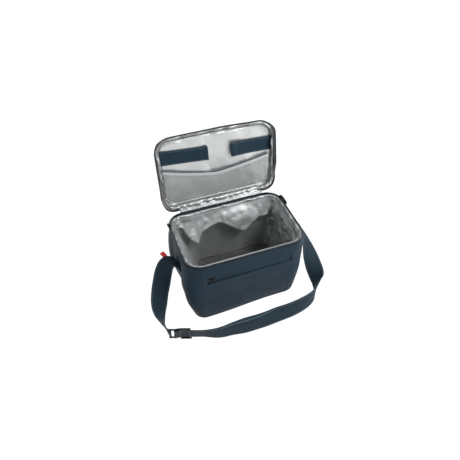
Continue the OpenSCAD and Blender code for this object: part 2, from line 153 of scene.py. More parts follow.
def fan(points, uv):
    """Part of a mesh: one polygon over a ring of points."""
    return points, [list(range(len(points)))], uv


def join(parts):
    """One part out of several."""
    verts, faces, corners, start = [], [], [], 0
    for v, f, c in parts:
        verts.append(v)
        faces += [[i + start for i in face] for face in f]
        corners.append(c)
        start += len(v)
    return np.concatenate(verts), faces, np.concatenate(corners)


def piece(name, part, material, weld=True, crisp=None):
    """A new object from a part of a mesh, with the material of the given name.
    crisp is the angle in degrees past which edges stay sharp."""
    verts, faces, corners = part
    mesh = bpy.data.meshes.new(name)
    mesh.from_pydata(verts.tolist(), [], faces)
    mesh.uv_layers.new(name="UVMap").data.foreach_set("uv", np.asarray(corners, np.float32).ravel())
    if weld:
        bm = bmesh.new()
        bm.from_mesh(mesh)
        bmesh.ops.remove_doubles(bm, verts=bm.verts, dist=1e-6)
        bm.to_mesh(mesh)
        bm.free()
    mesh.polygons.foreach_set("use_smooth", np.ones(len(mesh.polygons), bool))
    if crisp:
        mesh.set_sharp_from_angle(angle=math.radians(crisp))
    mesh.materials.append(MATERIALS[material])
    obj = bpy.data.objects.new(name, mesh)
    bpy.context.scene.collection.objects.link(obj)
    return obj


def thicken(obj, thickness, offset=-1.0):
    """Gives a sheet its thickness: offset -1 puts it all behind the surface, 0 half on each side."""
    solid = obj.modifiers.new("thickness", "SOLIDIFY")
    solid.thickness = thickness
    solid.offset = offset
    return obj


def soften(obj, width):
    """Rounded edges on a CAD node."""
    bevel = obj.modifiers.new("soft edges", "BEVEL")
    bevel.width = width
    bevel.segments = 3
    bevel.limit_method = "ANGLE"
    bevel.angle_limit = math.radians(40)
    bevel.harden_normals = True


def unit(v):
    """Vectors made one unit long."""
    return v / np.maximum(np.linalg.norm(v, axis=-1, keepdims=True), 1e-12)


def lengths(points):
    """Distance along a line of points."""
    return np.concatenate([[0], np.cumsum(np.linalg.norm(np.diff(points, axis=0), axis=1))])


def circles(side, up, sides):
    """Unit circle of points across each point of a line."""
    a = np.linspace(0, 2 * np.pi, sides, endpoint=False)
    return np.cos(a)[None, :, None] * side[:, None] + np.sin(a)[None, :, None] * up[:, None]


def tube(path, radius, sides=8, closed=False):
    """Round tube along a line of points, with round ends unless closed."""
    path = np.asarray(path, float)
    ahead = np.roll(path, -1, 0) - np.roll(path, 1, 0) if closed else np.gradient(path, axis=0)
    ahead = unit(ahead)
    helper = np.where(np.abs(ahead[:, 2:]) > 0.9, [[1.0, 0, 0]], [[0, 0, 1.0]])
    side = unit(np.cross(ahead, helper))
    up = np.cross(side, ahead)
    radii = np.full(len(path), radius)
    if not closed:
        reach, end_radius = ahead * radius * 0.5, [radius * 0.4]
        path = np.concatenate([path[:1] - reach[:1], path, path[-1:] + reach[-1:]])
        side, up = (np.concatenate([a[:1], a, a[-1:]]) for a in (side, up))
        radii = np.concatenate([end_radius, radii, end_radius])
    points = path[:, None] + circles(side, up, sides) * radii[:, None, None]
    if closed:
        points = np.concatenate([points, points[:1]])
        path = np.concatenate([path, path[:1]])
    return grid(points, sheet_uv(lengths(path), np.linspace(0, 2 * np.pi * radius, sides + 1)), wrap=True)


def resample(path, step):
    """Points about a step apart along a line of points."""
    path = np.asarray(path, float)
    along = lengths(path)
    t = np.linspace(0, along[-1], max(2, int(round(along[-1] / step)) + 1))
    return np.stack([np.interp(t, along, path[:, k]) for k in range(path.shape[1])], -1)


STITCH = 3.2 * MM
THREAD_R = 0.28 * MM


def line_frame(path, out, step):
    """Points a step apart along a line, with the directions out of the surface and ahead at each."""
    both = resample(np.concatenate([path, np.broadcast_to(out, path.shape)], 1), step)
    at, out = both[:, :3], unit(both[:, 3:])
    return at, out, unit(np.gradient(at, axis=0))


def stitches(path, out):
    """Row of short raised thread stitches on a line of points; out is the surface's normal at each."""
    at, out, ahead = line_frame(path, out, STITCH)
    circle = circles(unit(np.cross(ahead, out)), out, 6)
    rings = []
    for lift, reach, width in ((-0.6, -0.40, 0.5), (0.5, -0.26, 1), (0.5, 0.26, 1), (-0.6, 0.40, 0.5)):
        middle = at + ahead * reach * STITCH + out * lift * THREAD_R
        rings.append(middle[:, None] + circle * THREAD_R * width)
    uv = np.zeros((4, 7, 2))
    return join([grid(stitch, uv, wrap=True) for stitch in np.stack(rings, 1)])


# ---------- rounded rectangles ----------

FRONT_N, SIDE_N, CORNER_N = 64, 34, 14


def ring_columns():
    """For each column round a rounded rectangle, anticlockwise from the middle of the back: its place
    along the straight stretches, from -1 to 1, and its outward normal."""
    side, front = (np.linspace(-1, 1, n, endpoint=False) for n in (SIDE_N, FRONT_N))
    left, right = [(-1, -t, -1, 0) for t in side], [(1, t, 1, 0) for t in side]
    ahead = [(t, -1, 0, -1) for t in front]
    back = [(t, 1, 0, 1) for t in np.linspace(1, 0, FRONT_N // 2, endpoint=False)]
    columns = [(-t, 1, 0, 1) for t in np.linspace(0, 1, FRONT_N // 2, endpoint=False)]
    for start, ux, uy, next_side in ((90, -1, 1, left), (180, -1, -1, ahead), (270, 1, -1, right),
                                     (0, 1, 1, back)):
        angles = [math.radians(start + 90 * k / CORNER_N) for k in range(CORNER_N)]
        columns += [(ux, uy, math.cos(a), math.sin(a)) for a in angles] + next_side
    return np.array(columns, float)


COLUMNS = ring_columns()
RING_AT, RING_OUT = COLUMNS[:, :2], COLUMNS[:, 2:]


def rings(half_w, half_d, radius, z):
    """Rows of points round rounded rectangles, one for each half width, half depth, radius and height."""
    half_w, half_d, radius, z = (np.asarray(a, float)[:, None] for a in (half_w, half_d, radius, z))
    x = RING_AT[:, 0] * (half_w - radius) + RING_OUT[:, 0] * radius
    y = RING_AT[:, 1] * (half_d - radius) + RING_OUT[:, 1] * radius
    return np.stack([x, y, z + 0 * x], -1)


def mouth_ring(inset):
    """Ring of points round the mouth, at height 0."""
    return rings([MOUTH_W / 2 - inset], [MOUTH_D / 2 - inset], [CORNER_R - inset], [0])[0]


RING_U = lengths(np.concatenate([mouth_ring(0), mouth_ring(0)[:1]]))
RING_LENGTH = RING_U[-1]
U = RING_U[:-1]
OUT = np.concatenate([RING_OUT, np.zeros((len(RING_OUT), 1))], 1)


def ring_uv(rows):
    """UVs in metres for rings: distance round the mouth and a height for each row."""
    return sheet_uv(rows, RING_U)


def ring_noise(z, cell, seed, kind=noise):
    """Noise on rings that joins up where the ring closes, after a whole number of cells."""
    n = max(3, int(round(RING_LENGTH / cell)))
    return kind(np.broadcast_to(U, z.shape), z, RING_LENGTH / n, seed, wrap=n)


def share(z):
    """Height as a share of the body's height."""
    return np.clip(np.asarray(z) / BODY_H, 0, 1)


def edge_in(z):
    """How far the base's rounded edge lies inside the wall."""
    low = np.clip(EDGE_R - z, 0, EDGE_R)
    return EDGE_R - np.sqrt(np.maximum(EDGE_R ** 2 - low ** 2, 0))


def half_size(z, mouth, base_share):
    """Half the body's width or depth at a height."""
    t = share(z)
    return mouth / 2 * (base_share + (1 - base_share) * t) + BELLY * np.sin(np.pi * t) - edge_in(z)


def wall(z, inset=0.0):
    """Rings of the body's wall, a distance in from the fabric's face."""
    z = np.asarray(z, float)
    half_w = half_size(z, MOUTH_W, BASE_SHARE[0]) - inset
    half_d = half_size(z, MOUTH_D, BASE_SHARE[1]) - inset
    return rings(half_w, half_d, BASE_CORNER_R + (CORNER_R - BASE_CORNER_R) * share(z) - inset, z)


def opened(points):
    """Points of the closed lid, moved to where the open lid holds them."""
    points = np.asarray(points, float)
    y, z = points[..., 1] - HINGE_Y, points[..., 2] - ZIP_Z
    c, s = math.cos(LID_OPEN), math.sin(LID_OPEN)
    return np.stack([points[..., 0], HINGE_Y + y * c + z * s, ZIP_Z - y * s + z * c], -1)


def in_lid(x, s, h):
    """Point of the open lid from its distance to the hinge and its height above the zip when closed."""
    x, s, h = np.broadcast_arrays(np.asarray(x, float), s, h)
    return opened(np.stack([x, HINGE_Y - s, ZIP_Z + h], -1))


LID_DOWN = unit(in_lid(0, 0, -1.0) - in_lid(0, 0, 0.0))   # out of the open lid's lining


# ---------- camera, light and floor ----------

AZIMUTH, ELEVATION = math.radians(-20.6), math.radians(45.3)
DISTANCE = 1.167
TARGET = Vector((0, 0, 0.13))
LENS_MM = 40.5
SHIFT = (-0.012, 0.026)


def make_camera():
    """Camera that looks down on the front from its left."""
    data = bpy.data.cameras.new("camera")
    data.lens = LENS_MM
    data.shift_x, data.shift_y = SHIFT
    camera = bpy.data.objects.new("camera", data)
    bpy.context.scene.collection.objects.link(camera)
    back = Vector((math.sin(AZIMUTH) * math.cos(ELEVATION), -math.cos(AZIMUTH) * math.cos(ELEVATION),
                   math.sin(ELEVATION)))
    camera.location = TARGET + back * DISTANCE
    camera.rotation_euler = back.to_track_quat("Z", "Y").to_euler()
    bpy.context.scene.camera = camera


def area_light(name, place, power, size):
    """White light that faces the middle of the bag."""
    data = bpy.data.lights.new(name, "AREA")
    data.energy = power
    data.size = size
    light = bpy.data.objects.new(name, data)
    light.location = place
    light.rotation_euler = (Vector(place) - Vector((0, 0, 0.1))).to_track_quat("Z", "Y").to_euler()
    bpy.context.scene.collection.objects.link(light)


def make_studio():
    """Even white surroundings, three soft lights and a white table."""
    scene = bpy.context.scene
    scene.view_settings.view_transform = "Standard"
    world = bpy.data.worlds.new("studio")
    world.use_nodes = True
    world.node_tree.nodes["Background"].inputs["Color"].default_value = (0.95, 0.98, 1, 1)
    world.node_tree.nodes["Background"].inputs["Strength"].default_value = 0.55
    scene.world = world
    area_light("key", (0.75, -0.75, 1.5), 22, 0.45)
    area_light("top", (-0.2, 0.3, 1.6), 6, 0.8)
    area_light("side", (0.8, -0.4, 0.45), 3.5, 0.3)
    bpy.ops.mesh.primitive_plane_add(size=40, location=(0, 0, -0.0004))
    floor = bpy.context.object
    floor.name = "floor"
    paint = bpy.data.materials.new("white_table")
    paint.use_nodes = True
    shader = paint.node_tree.nodes["Principled BSDF"]
    shader.inputs["Base Color"].default_value = (0.1, 0.1, 0.1, 1)
    shader.inputs["Roughness"].default_value = 1.0
    shader.inputs["Specular IOR Level"].default_value = 0.0
    shader.inputs["Emission Color"].default_value = (1, 1, 1, 1)
    shader.inputs["Emission Strength"].default_value = 1.0
    floor.data.materials.append(paint)


# ---------- materials ----------

class Paint:
    """A material whose nodes are added in the order that they are used."""

    def __init__(self, name, color, roughness, metallic=0.0, sheen=0.0, specular=0.5):
        self.material = bpy.data.materials.new(name)
        self.material.use_nodes = True
        self.tree = self.material.node_tree
        self.shader = self.tree.nodes["Principled BSDF"]
        self.shader.inputs["Base Color"].default_value = (*color, 1)
        self.shader.inputs["Roughness"].default_value = roughness
        self.shader.inputs["Metallic"].default_value = metallic
        self.shader.inputs["Sheen Weight"].default_value = sheen
        self.shader.inputs["Specular IOR Level"].default_value = specular
        self.height = None

    def link(self, a, b):
        self.tree.links.new(a, b)

    def coordinates(self, scale, kind="UV"):
        where = self.tree.nodes.new("ShaderNodeTexCoord")
        mapping = self.tree.nodes.new("ShaderNodeMapping")
        mapping.inputs["Scale"].default_value = scale
        self.link(where.outputs[kind], mapping.inputs["Vector"])
        return mapping.outputs["Vector"]

    def math(self, operation, a, b=None, clamp=False):
        node = self.tree.nodes.new("ShaderNodeMath")
        node.operation = operation
        node.use_clamp = clamp
        for socket, value in zip(node.inputs, (a, b)):
            if isinstance(value, (int, float)):
                socket.default_value = value
            elif value is not None:
                self.link(value, socket)
        return node.outputs[0]

    def split(self, vector):
        node = self.tree.nodes.new("ShaderNodeSeparateXYZ")
        self.link(vector, node.inputs[0])
        return node.outputs

    def noise(self, scale, detail=2.0, kind="UV"):
        node = self.tree.nodes.new("ShaderNodeTexNoise")
        node.inputs["Scale"].default_value = 1.0
        node.inputs["Detail"].default_value = detail
        self.link(self.coordinates(scale, kind), node.inputs["Vector"])
        return node.outputs["Fac"]

    def voronoi(self, scale, feature="F1", kind="UV"):
        node = self.tree.nodes.new("ShaderNodeTexVoronoi")
        node.feature = feature
        node.inputs["Scale"].default_value = 1.0
        self.link(self.coordinates(scale, kind), node.inputs["Vector"])
        return node.outputs["Distance"]

    def remap(self, value, low, high, to_low, to_high):
        node = self.tree.nodes.new("ShaderNodeMapRange")
        self.link(value, node.inputs["Value"])
        for key, number in (("From Min", low), ("From Max", high), ("To Min", to_low), ("To Max", to_high)):
            node.inputs[key].default_value = number
        return node.outputs["Result"]

    def tint(self, factor, dark, light):
        """Base colour from dark to light by a factor."""
        node = self.tree.nodes.new("ShaderNodeMix")
        node.data_type = "RGBA"
        self.link(factor, node.inputs["Factor"])
        node.inputs["A"].default_value = (*dark, 1)
        node.inputs["B"].default_value = (*light, 1)
        self.link(node.outputs["Result"], self.shader.inputs["Base Color"])

    def rough(self, value, low, high):
        self.link(self.remap(value, 0.3, 0.7, low, high), self.shader.inputs["Roughness"])

    def relief(self, height, depth, strength=1.0):
        """Bump of a height from 0 to 1, whose full depth is in metres."""
        node = self.tree.nodes.new("ShaderNodeBump")
        node.inputs["Strength"].default_value = strength
        node.inputs["Distance"].default_value = depth
        self.link(height, node.inputs["Height"])
        if self.height is not None:
            self.link(self.height, node.inputs["Normal"])
        self.height = node.outputs["Normal"]
        self.link(self.height, self.shader.inputs["Normal"])


def weave(paint, pitch):
    """Plain weave: threads go over and under each other, a whole turn every two threads."""
    turns = 2 * math.pi / pitch
    xyz = paint.split(paint.coordinates((turns, turns, 1)))
    height = paint.math("MULTIPLY", paint.math("SINE", xyz[0]), paint.math("SINE", xyz[1]))
    return paint.remap(height, -1, 1, 0, 1)


def navy_fabric():
    """Coarse woven polyester with a soft coating."""
    paint = Paint("navy_polyester", (0.010, 0.026, 0.042), 0.7, sheen=0.03, specular=0.12)
    threads = weave(paint, 1.3 * MM)
    cloudy = paint.noise((28, 28, 28), 3)
    mix = paint.math("ADD", paint.math("MULTIPLY", threads, 0.55), paint.math("MULTIPLY", cloudy, 0.6))
    mix = paint.math("SUBTRACT", mix, 0.1, clamp=True)
    paint.tint(mix, (0.0038, 0.0125, 0.0200), (0.0140, 0.0335, 0.054))
    paint.rough(cloudy, 0.55, 0.7)
    paint.relief(cloudy, 0.9 * MM, 0.5)
    paint.relief(threads, 0.16 * MM, 0.8)
    return paint.material


def navy_webbing():
    """Ribbed webbing: fine chevrons along the strap, with denser edges."""
    paint = Paint("navy_webbing", (0.010, 0.024, 0.036), 0.65, sheen=0.04, specular=0.15)
    xyz = paint.split(paint.coordinates((1, 1, 1)))
    rib = paint.math("PINGPONG", xyz[0], 2.4 * MM)
    slant = paint.math("ADD", xyz[1], rib)
    rows = paint.math("SINE", paint.math("MULTIPLY", slant, 2 * math.pi / (1.5 * MM)))
    ribs = paint.math("SINE", paint.math("MULTIPLY", xyz[0], 2 * math.pi / (2.4 * MM)))
    threads = paint.remap(paint.math("ADD", rows, paint.math("MULTIPLY", ribs, 0.7)), -1.7, 1.7, 0, 1)
    cloudy = paint.noise((30, 30, 30), 3)
    mix = paint.math("ADD", paint.math("MULTIPLY", threads, 0.6), paint.math("MULTIPLY", cloudy, 0.5))
    mix = paint.math("SUBTRACT", mix, 0.05, clamp=True)
    paint.tint(mix, (0.0034, 0.0106, 0.017), (0.0128, 0.0300, 0.0455))
    paint.relief(threads, 0.25 * MM, 0.9)
    return paint.material


def foil(name, dark, light, rough):
    """Satin aluminium-faced film with fine wrinkles."""
    paint = Paint(name, light, rough, metallic=0.85)
    creases = paint.voronoi((95, 95, 95), "DISTANCE_TO_EDGE")
    fine = paint.noise((260, 260, 260), 4)
    cloudy = paint.noise((22, 22, 22), 3)
    paint.tint(cloudy, dark, light)
    paint.rough(cloudy, rough - 0.05, rough + 0.08)
    paint.relief(paint.remap(creases, 0, 0.12, 0, 1), 0.4 * MM, 0.22)
    paint.relief(fine, 0.3 * MM, 0.25)
    return paint.material


def plain(name, dark, light, roughness, cell, depth, metallic=0.0, sheen=0.0, specular=0.5):
    """A mottled, slightly grained surface; cell is the grain's size, and both are in millimetres."""
    paint = Paint(name, light, roughness, metallic, sheen, specular)
    grain = paint.noise((1 / (cell * MM),) * 3, 3, "Object")
    paint.tint(grain, dark, light)
    paint.relief(grain, depth * MM, 0.6)
    return paint.material


def hook_and_loop():
    """Dense dark bristle."""
    paint = Paint("hook_and_loop", (0.02, 0.02, 0.025), 0.85, sheen=0.4)
    bristle = paint.voronoi((900, 900, 900), kind="Object")
    paint.tint(bristle, (0.035, 0.038, 0.045), (0.008, 0.009, 0.012))
    paint.relief(bristle, 0.5 * MM, 1.0)
    return paint.material


def woven(name, dark, light, pitch, roughness=0.7, sheen=0.1):
    """A plain-woven tape or ribbon; pitch is two threads, in millimetres."""
    paint = Paint(name, light, roughness, sheen=sheen, specular=0.2)
    threads = weave(paint, pitch * MM)
    paint.tint(threads, dark, light)
    paint.relief(threads, 0.12 * MM, 0.8)
    return paint.material


def make_materials():
    """Every material, by the name that pieces ask for."""
    return {
        "navy_fabric": navy_fabric(),
        "navy_webbing": navy_webbing(),
        "hook_loop": hook_and_loop(),
        "foil": foil("foil_film", (0.50, 0.51, 0.51), (0.72, 0.73, 0.73), 0.34),
        # tub_foil is the lining's foil film made darker all over: painted shade for the inside of the deep
        # tub
        "tub_foil": foil("worn_foil_film", (0.38, 0.39, 0.39), (0.50, 0.51, 0.51), 0.46),
        "lip_foil": foil("creased_foil_film", (0.20, 0.21, 0.21), (0.40, 0.41, 0.41), 0.40),
        # floor_film is a near-black film, with a little metallic sheen, put on the tub's floor as painted
        # shade
        "floor_film": plain("dull_floor_film", (0.030, 0.032, 0.031), (0.055, 0.057, 0.056), 0.5, 6, 0.3,
                            metallic=0.3),
        "mesh": plain("net_thread", (0.32, 0.33, 0.33), (0.44, 0.45, 0.45), 0.6, 1.2, 0.2, sheen=0.1),
        "hem": woven("net_hem", (0.30, 0.31, 0.31), (0.46, 0.47, 0.47), 1.0),
        "foam": plain("white_foam", (0.78, 0.78, 0.74), (0.9, 0.9, 0.87), 0.9, 1.5, 0.5),
        "board": plain("grey_board", (0.25, 0.25, 0.24), (0.36, 0.36, 0.35), 0.8, 1.0, 0.1),
        "pocket_lining": plain("pocket_lining", (0.16, 0.17, 0.18), (0.22, 0.23, 0.24), 0.7, 0.8, 0.1),
        "zip_tape": woven("zip_tape", (0.003, 0.006, 0.009), (0.008, 0.014, 0.019), 0.9, sheen=0.02),
        "navy_tape": woven("navy_tape", (0.006, 0.017, 0.027), (0.015, 0.036, 0.056), 0.9, sheen=0.02),
        "zip_teeth": plain("zip_teeth", (0.010, 0.012, 0.016), (0.030, 0.034, 0.040), 0.35, 2, 0.05),
        "zip_metal": plain("black_metal", (0.005, 0.006, 0.007), (0.014, 0.015, 0.017), 0.5, 3, 0.05,
                           metallic=0.2, specular=0.25),
        "buckle": plain("black_nylon", (0.004, 0.005, 0.005), (0.010, 0.012, 0.012), 0.4, 1.2, 0.04,
                        specular=0.2),
        "red_label": woven("red_ribbon", (0.50, 0.02, 0.02), (0.80, 0.05, 0.05), 0.8, 0.6),
        "thread": plain("navy_thread", (0.01, 0.025, 0.04), (0.03, 0.06, 0.085), 0.6, 1, 0.05),
        "pale_thread": plain("pale_thread", (0.06, 0.10, 0.13), (0.13, 0.19, 0.23), 0.6, 1, 0.05),
    }


# ---------- straps ----------

# Middle of the webbing and the direction across it, from the bag's side to the buckle, in millimetres
SHORT_ROUTE = [
    ((-130.7, 4, 52), (0, -1, 0)), ((-132.8, 4, 72), (0, -1, 0)),
    ((-135.4, 4, 96), (0, -1, 0)), ((-141, 4, 112), (0.1, -1, 0)),
    ((-152, 4, 119), (0.35, -0.95, 0)), ((-164, 0, 114), (0.6, -0.8, -0.1)),
    ((-173, -8, 102), (0.8, -0.5, -0.1)), ((-181, -19, 87), (0.9, -0.3, -0.1)),
    ((-190, -32, 70), (0.9, -0.1, -0.3)), ((-197, -46, 54), (0.8, -0.1, -0.5)),
    ((-202, -62, 41), (0.6, -0.1, -0.8)), ((-203, -80, 31), (0.35, -0.2, -0.9)),
    ((-200, -96, 26), (0.3, -0.2, -0.9)), ((-196, -111, 24.2), (0.2, 0, -0.97))]
LONG_ROUTE = [
    ((130.7, 4, 52), (0, -1, 0)), ((132.8, 4, 72), (0, -1, 0)), ((135.4, 4, 96), (0, -1, 0)),
    ((140, 4, 114), (0, -1, 0)), ((150, 3, 124), (0, -1, 0)), ((159, 0, 121), (-0.15, -1, -0.1)),
    ((165, -6, 108), (-0.3, -0.95, -0.15)), ((170, -14, 92), (-0.45, -0.85, -0.25)),
    ((174, -24, 74), (-0.6, -0.7, -0.35)), ((177, -37, 56), (-0.75, -0.5, -0.4)),
    ((179, -53, 39), (-0.8, -0.3, -0.5)), ((179, -71, 27), (-0.75, -0.1, -0.65)),
    ((174, -89, 20.2), (-0.5, 0, -0.85)), ((163, -107, 20.6), (-0.25, -0.05, -0.97)),
    ((148, -123, 20.6), (0, -0.1, -1)), ((130, -133, 20.4), (0.05, -0.18, -0.98)),
    ((104, -140, 20), (0.03, -0.28, -0.96)), ((76, -144, 19.8), (0, -0.32, -0.95)),
    ((43, -146, 19.8), (0, -0.34, -0.94)), ((20, -149, 20), (0, -0.27, -0.96)),
    ((-5, -151, 20.4), (0, -0.18, -0.98)), ((-31, -151, 20.6), (0, -0.17, -0.98)),
    ((-60, -149, 20.8), (0, -0.05, -1)), ((-92, -147, 21.2), (0, 0.05, -1))]
RUN_START = np.array([-181, -118, 24.2]) * MM
RUN_DIR = unit(np.array([0.938, -0.346, 0]))
RUN_ACROSS = np.array([0, 0.25, -0.97])
RUN_UP = -unit(RUN_ACROSS - RUN_ACROSS @ RUN_DIR * RUN_DIR)
RUN_IN = np.cross(RUN_UP, RUN_DIR)
RING_R = 1.6 * MM
RING_BAR = 6.4 * MM         # the ring's bars, from its middle
WRAP_R = RING_R + STRAP_T / 2 + 0.15 * MM
WEBBING_W = STRAP_W - 0.6 * MM


def on_run(u, n):
    """Point beside the buckle: u along the straight run and n through the webbing, towards the bag."""
    return RUN_START + u * RUN_DIR + n * RUN_IN


def smooth_line(points, steps):
    """Curve through every point."""
    points = np.asarray(points, float)
    padded = np.concatenate([points[:1], points, points[-1:]])
    out = []
    for i in range(len(points) - 1):
        a, b, c, d = padded[i:i + 4]
        t = np.linspace(0, 1, steps, endpoint=False)[:, None]
        out.append(0.5 * (2 * b + (c - a) * t + (2 * a - 5 * b + 4 * c - d) * t ** 2
                          + (3 * b - a - 3 * c + d) * t ** 3))
    return np.concatenate(out + [points[-1:]])


def ribbon(at, across, width, thickness, columns=9, curl=0.0):
    """Flat band along a line of points, as a closed skin with rounded edges. Returns the part, and the
    direction across and out of it at each point."""
    ahead = unit(np.gradient(at, axis=0))
    flat = unit(across - (across * ahead).sum(1, keepdims=True) * ahead)
    out = np.cross(ahead, flat)
    w = np.linspace(-1, 1, columns)
    face = np.sqrt(np.clip(1 - np.abs(w) ** 14, 0.12, 1))
    loop_w = np.concatenate([w, w[::-1]]) * width / 2
    loop_t = np.concatenate([face, -face[::-1]]) * thickness / 2
    bent = np.clip(np.concatenate([-w, -w[::-1]]) - 0.35, 0, 1) / 0.65
    lift = loop_t[None] - np.asarray(curl).reshape(-1, 1) * bent[None] ** 1.6
    points = at[:, None] + loop_w[None, :, None] * flat[:, None] + lift[..., None] * out[:, None]
    girth = np.concatenate([w, w[::-1], w[:1]]) * width / 2
    uv = sheet_uv(lengths(at), girth)
    skin = grid(points[:, ::-1], uv[:, ::-1], wrap=True)
    ends = [fan(points[0], uv[0, :-1]), fan(points[-1, ::-1], uv[-1, :-1][::-1])]
    return join([skin] + ends), flat, out


def route_line(route, run):
    """Smooth middle line and directions across, in metres: a route, then points on the straight run."""
    at = [np.array(p) * MM for p, _ in route] + run
    across = [np.array(a, float) for _, a in route] + [RUN_ACROSS] * len(run)
    return smooth_line(at, 8), smooth_line(across, 8)


def wrap_round(u, turn):
    """Arc of webbing round an upright bar at u on the straight run, by a turn in degrees."""
    a = np.radians(np.linspace(-90, turn - 90, 9))
    return [on_run(u + WRAP_R * math.cos(t), WRAP_R * math.sin(t)) for t in a]


def edge_stitches(at, flat, out, end):
    """Rows of stitches near both edges of the webbing, on both faces, up to a share of its points."""
    count = int(end * (len(at) - 1)) + 1
    rows = []
    for side in (1, -1):
        for face in (1, -1):
            line = at + side * (STRAP_W / 2 - 3 * MM) * flat + face * (STRAP_T / 2) * out
            rows.append(stitches(line[:count], (face * out)[:count]))
    return join(rows)


def box_middle(node):
    """Middle of a CAD node's box."""
    low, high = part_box(node)
    return np.array((low + high) / 2)


def strap(name, route, run, end, curl=None):
    """Webbing along a route and the straight run, and its stitching up to a share of its length."""
    at, across = route_line(route, run)
    part, flat, out = ribbon(at, across, WEBBING_W, STRAP_T, curl=curl(at) if curl else 0.0)
    webbing = piece(name + "_webbing", part, "navy_webbing", crisp=60)
    thread = edge_stitches(at, flat, out, end)
    return webbing, piece(name + "_stitching", thread, "pale_thread")


def make_straps():
    """Both halves of the shoulder strap with their stitching, the red tab, and the seams of the anchors."""
    ring_u = (box_middle("strap_ring") - RUN_START) @ RUN_DIR
    slider_u = (box_middle("strap_slider") - RUN_START) @ RUN_DIR

    # Short strap: over the ring's left bar
    last = ((-195.2, -112.6, 24.2), (0.1, 0.1, -0.97))
    strap_short, short_thread = strap("strap_short", SHORT_ROUTE[:-1] + [last],
                                      wrap_round(ring_u - RING_BAR, 180), 0.93)

    # Long strap: through the slider and round the ring's right bar. Its upper edge curls back along the front
    right_bar = ring_u + RING_BAR
    turn = wrap_round(right_bar, -180)
    near = [on_run(u * MM, 0) for u in (60, 34, 22)] + [on_run(14 * MM, -0.5 * MM)]
    strap_long, long_thread = strap(
        "strap_long", LONG_ROUTE, near + turn, 0.95,
        lambda at: 7 * MM * bump(at[:, 0], -25 * MM, 55 * MM) * ease(-at[:, 1], 0.125, 0.14))

    # Return layer, from the ring's right bar back to the slider
    line = smooth_line([turn[-1], on_run(right_bar + 4 * MM, 3.6 * MM), on_run(slider_u - 6 * MM, 4.4 * MM),
                        on_run(slider_u - 1 * MM, 4.4 * MM), on_run(slider_u + 2.4 * MM, 3.4 * MM),
                        on_run(slider_u + 3.0 * MM, 1.8 * MM)], 6)
    layer, _, _ = ribbon(line, np.broadcast_to(RUN_ACROSS, line.shape), WEBBING_W, STRAP_T * 0.9)
    strap_return = piece("strap_return_webbing", layer, "navy_webbing", crisp=60)
    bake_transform(strap_return)

    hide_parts("strap_short")
    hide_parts("strap_long")
    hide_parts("strap_return")
    for obj in (strap_short, short_thread, strap_long, long_thread):
        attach(obj, "root")
    tab = make_red_tab()

    # Stitching round the patches that hold the straps to the bag's sides
    for side, name in ((-1, "left"), (1, "right")):
        low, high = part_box("strap_anchor_" + name)
        bottom, top = min(abs(low.x), abs(high.x)) + FABRIC_T, max(abs(low.x), abs(high.x))
        y0, y1, z0, z1 = low.y + 2 * MM, high.y - 2 * MM, low.z + 2 * MM, high.z - 2 * MM
        loop = np.array([(y0, z0), (y1, z0), (y1, z1), (y0, z1), (y0, z0)])

        def on_face(z):
            return side * (bottom + (top - bottom) * (z - low.z) / (high.z - low.z) + 0.1 * MM)
        line = resample(np.column_stack([on_face(loop[:, 1]), loop]), STITCH)
        line[:, 0] = on_face(line[:, 2])
        seam = piece("anchor_stitching_" + name, stitches(line, np.array([side, 0.0, 0])),
                     "pale_thread")
        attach(seam, "root")


def make_red_tab():
    """Short folded ribbon sewn to the strap's back edge."""
    middle = box_middle("red_tab")
    lean = math.radians(110)
    ahead = unit(np.array([math.cos(lean), math.sin(lean), 0.12]))
    across = unit(np.cross([0, 0, 1.0], ahead))
    up = np.cross(ahead, across)
    half_l, width, gap = 7 * MM, 10 * MM, 0.9 * MM
    line = [middle - ahead * half_l - up * gap, middle - up * gap * 1.1]
    line += [middle + ahead * (half_l - 1.2 * MM + gap * math.cos(a)) + up * gap * math.sin(a)
             for a in np.radians(np.linspace(-90, 90, 9))]
    line += [middle + up * gap * 1.1, middle - ahead * half_l + up * gap]
    line = smooth_line(line, 4)
    part, _, _ = ribbon(line, np.broadcast_to(across, line.shape), width, 0.7 * MM, columns=7)
    tab = piece("red_tab_ribbon", part, "red_label", crisp=60)
    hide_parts("red_tab")
    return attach(tab, "root")


# ---------- body ----------

pocket_low, pocket_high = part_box("front_zip_tapes")
POCKET_Z = (pocket_low.z + pocket_high.z) / 2
WINDOW_HALF = 9 * MM        # half the height of the opening over the pocket's zip
ZIP_IN = 1.1 * MM           # the zip's tapes, behind the front's face


# How far forwards the foot of each ring column comes, as the bag slumps to the front left
SLUMP = 7.5 * MM * ease(-RING_AT[:, 0], -0.7, 1.0) * -np.minimum(RING_OUT[:, 1], 0)


def front_y(z):
    """Place of the front's face at a height, before its folds."""
    return -half_size(z, MOUTH_D, BASE_SHARE[1])


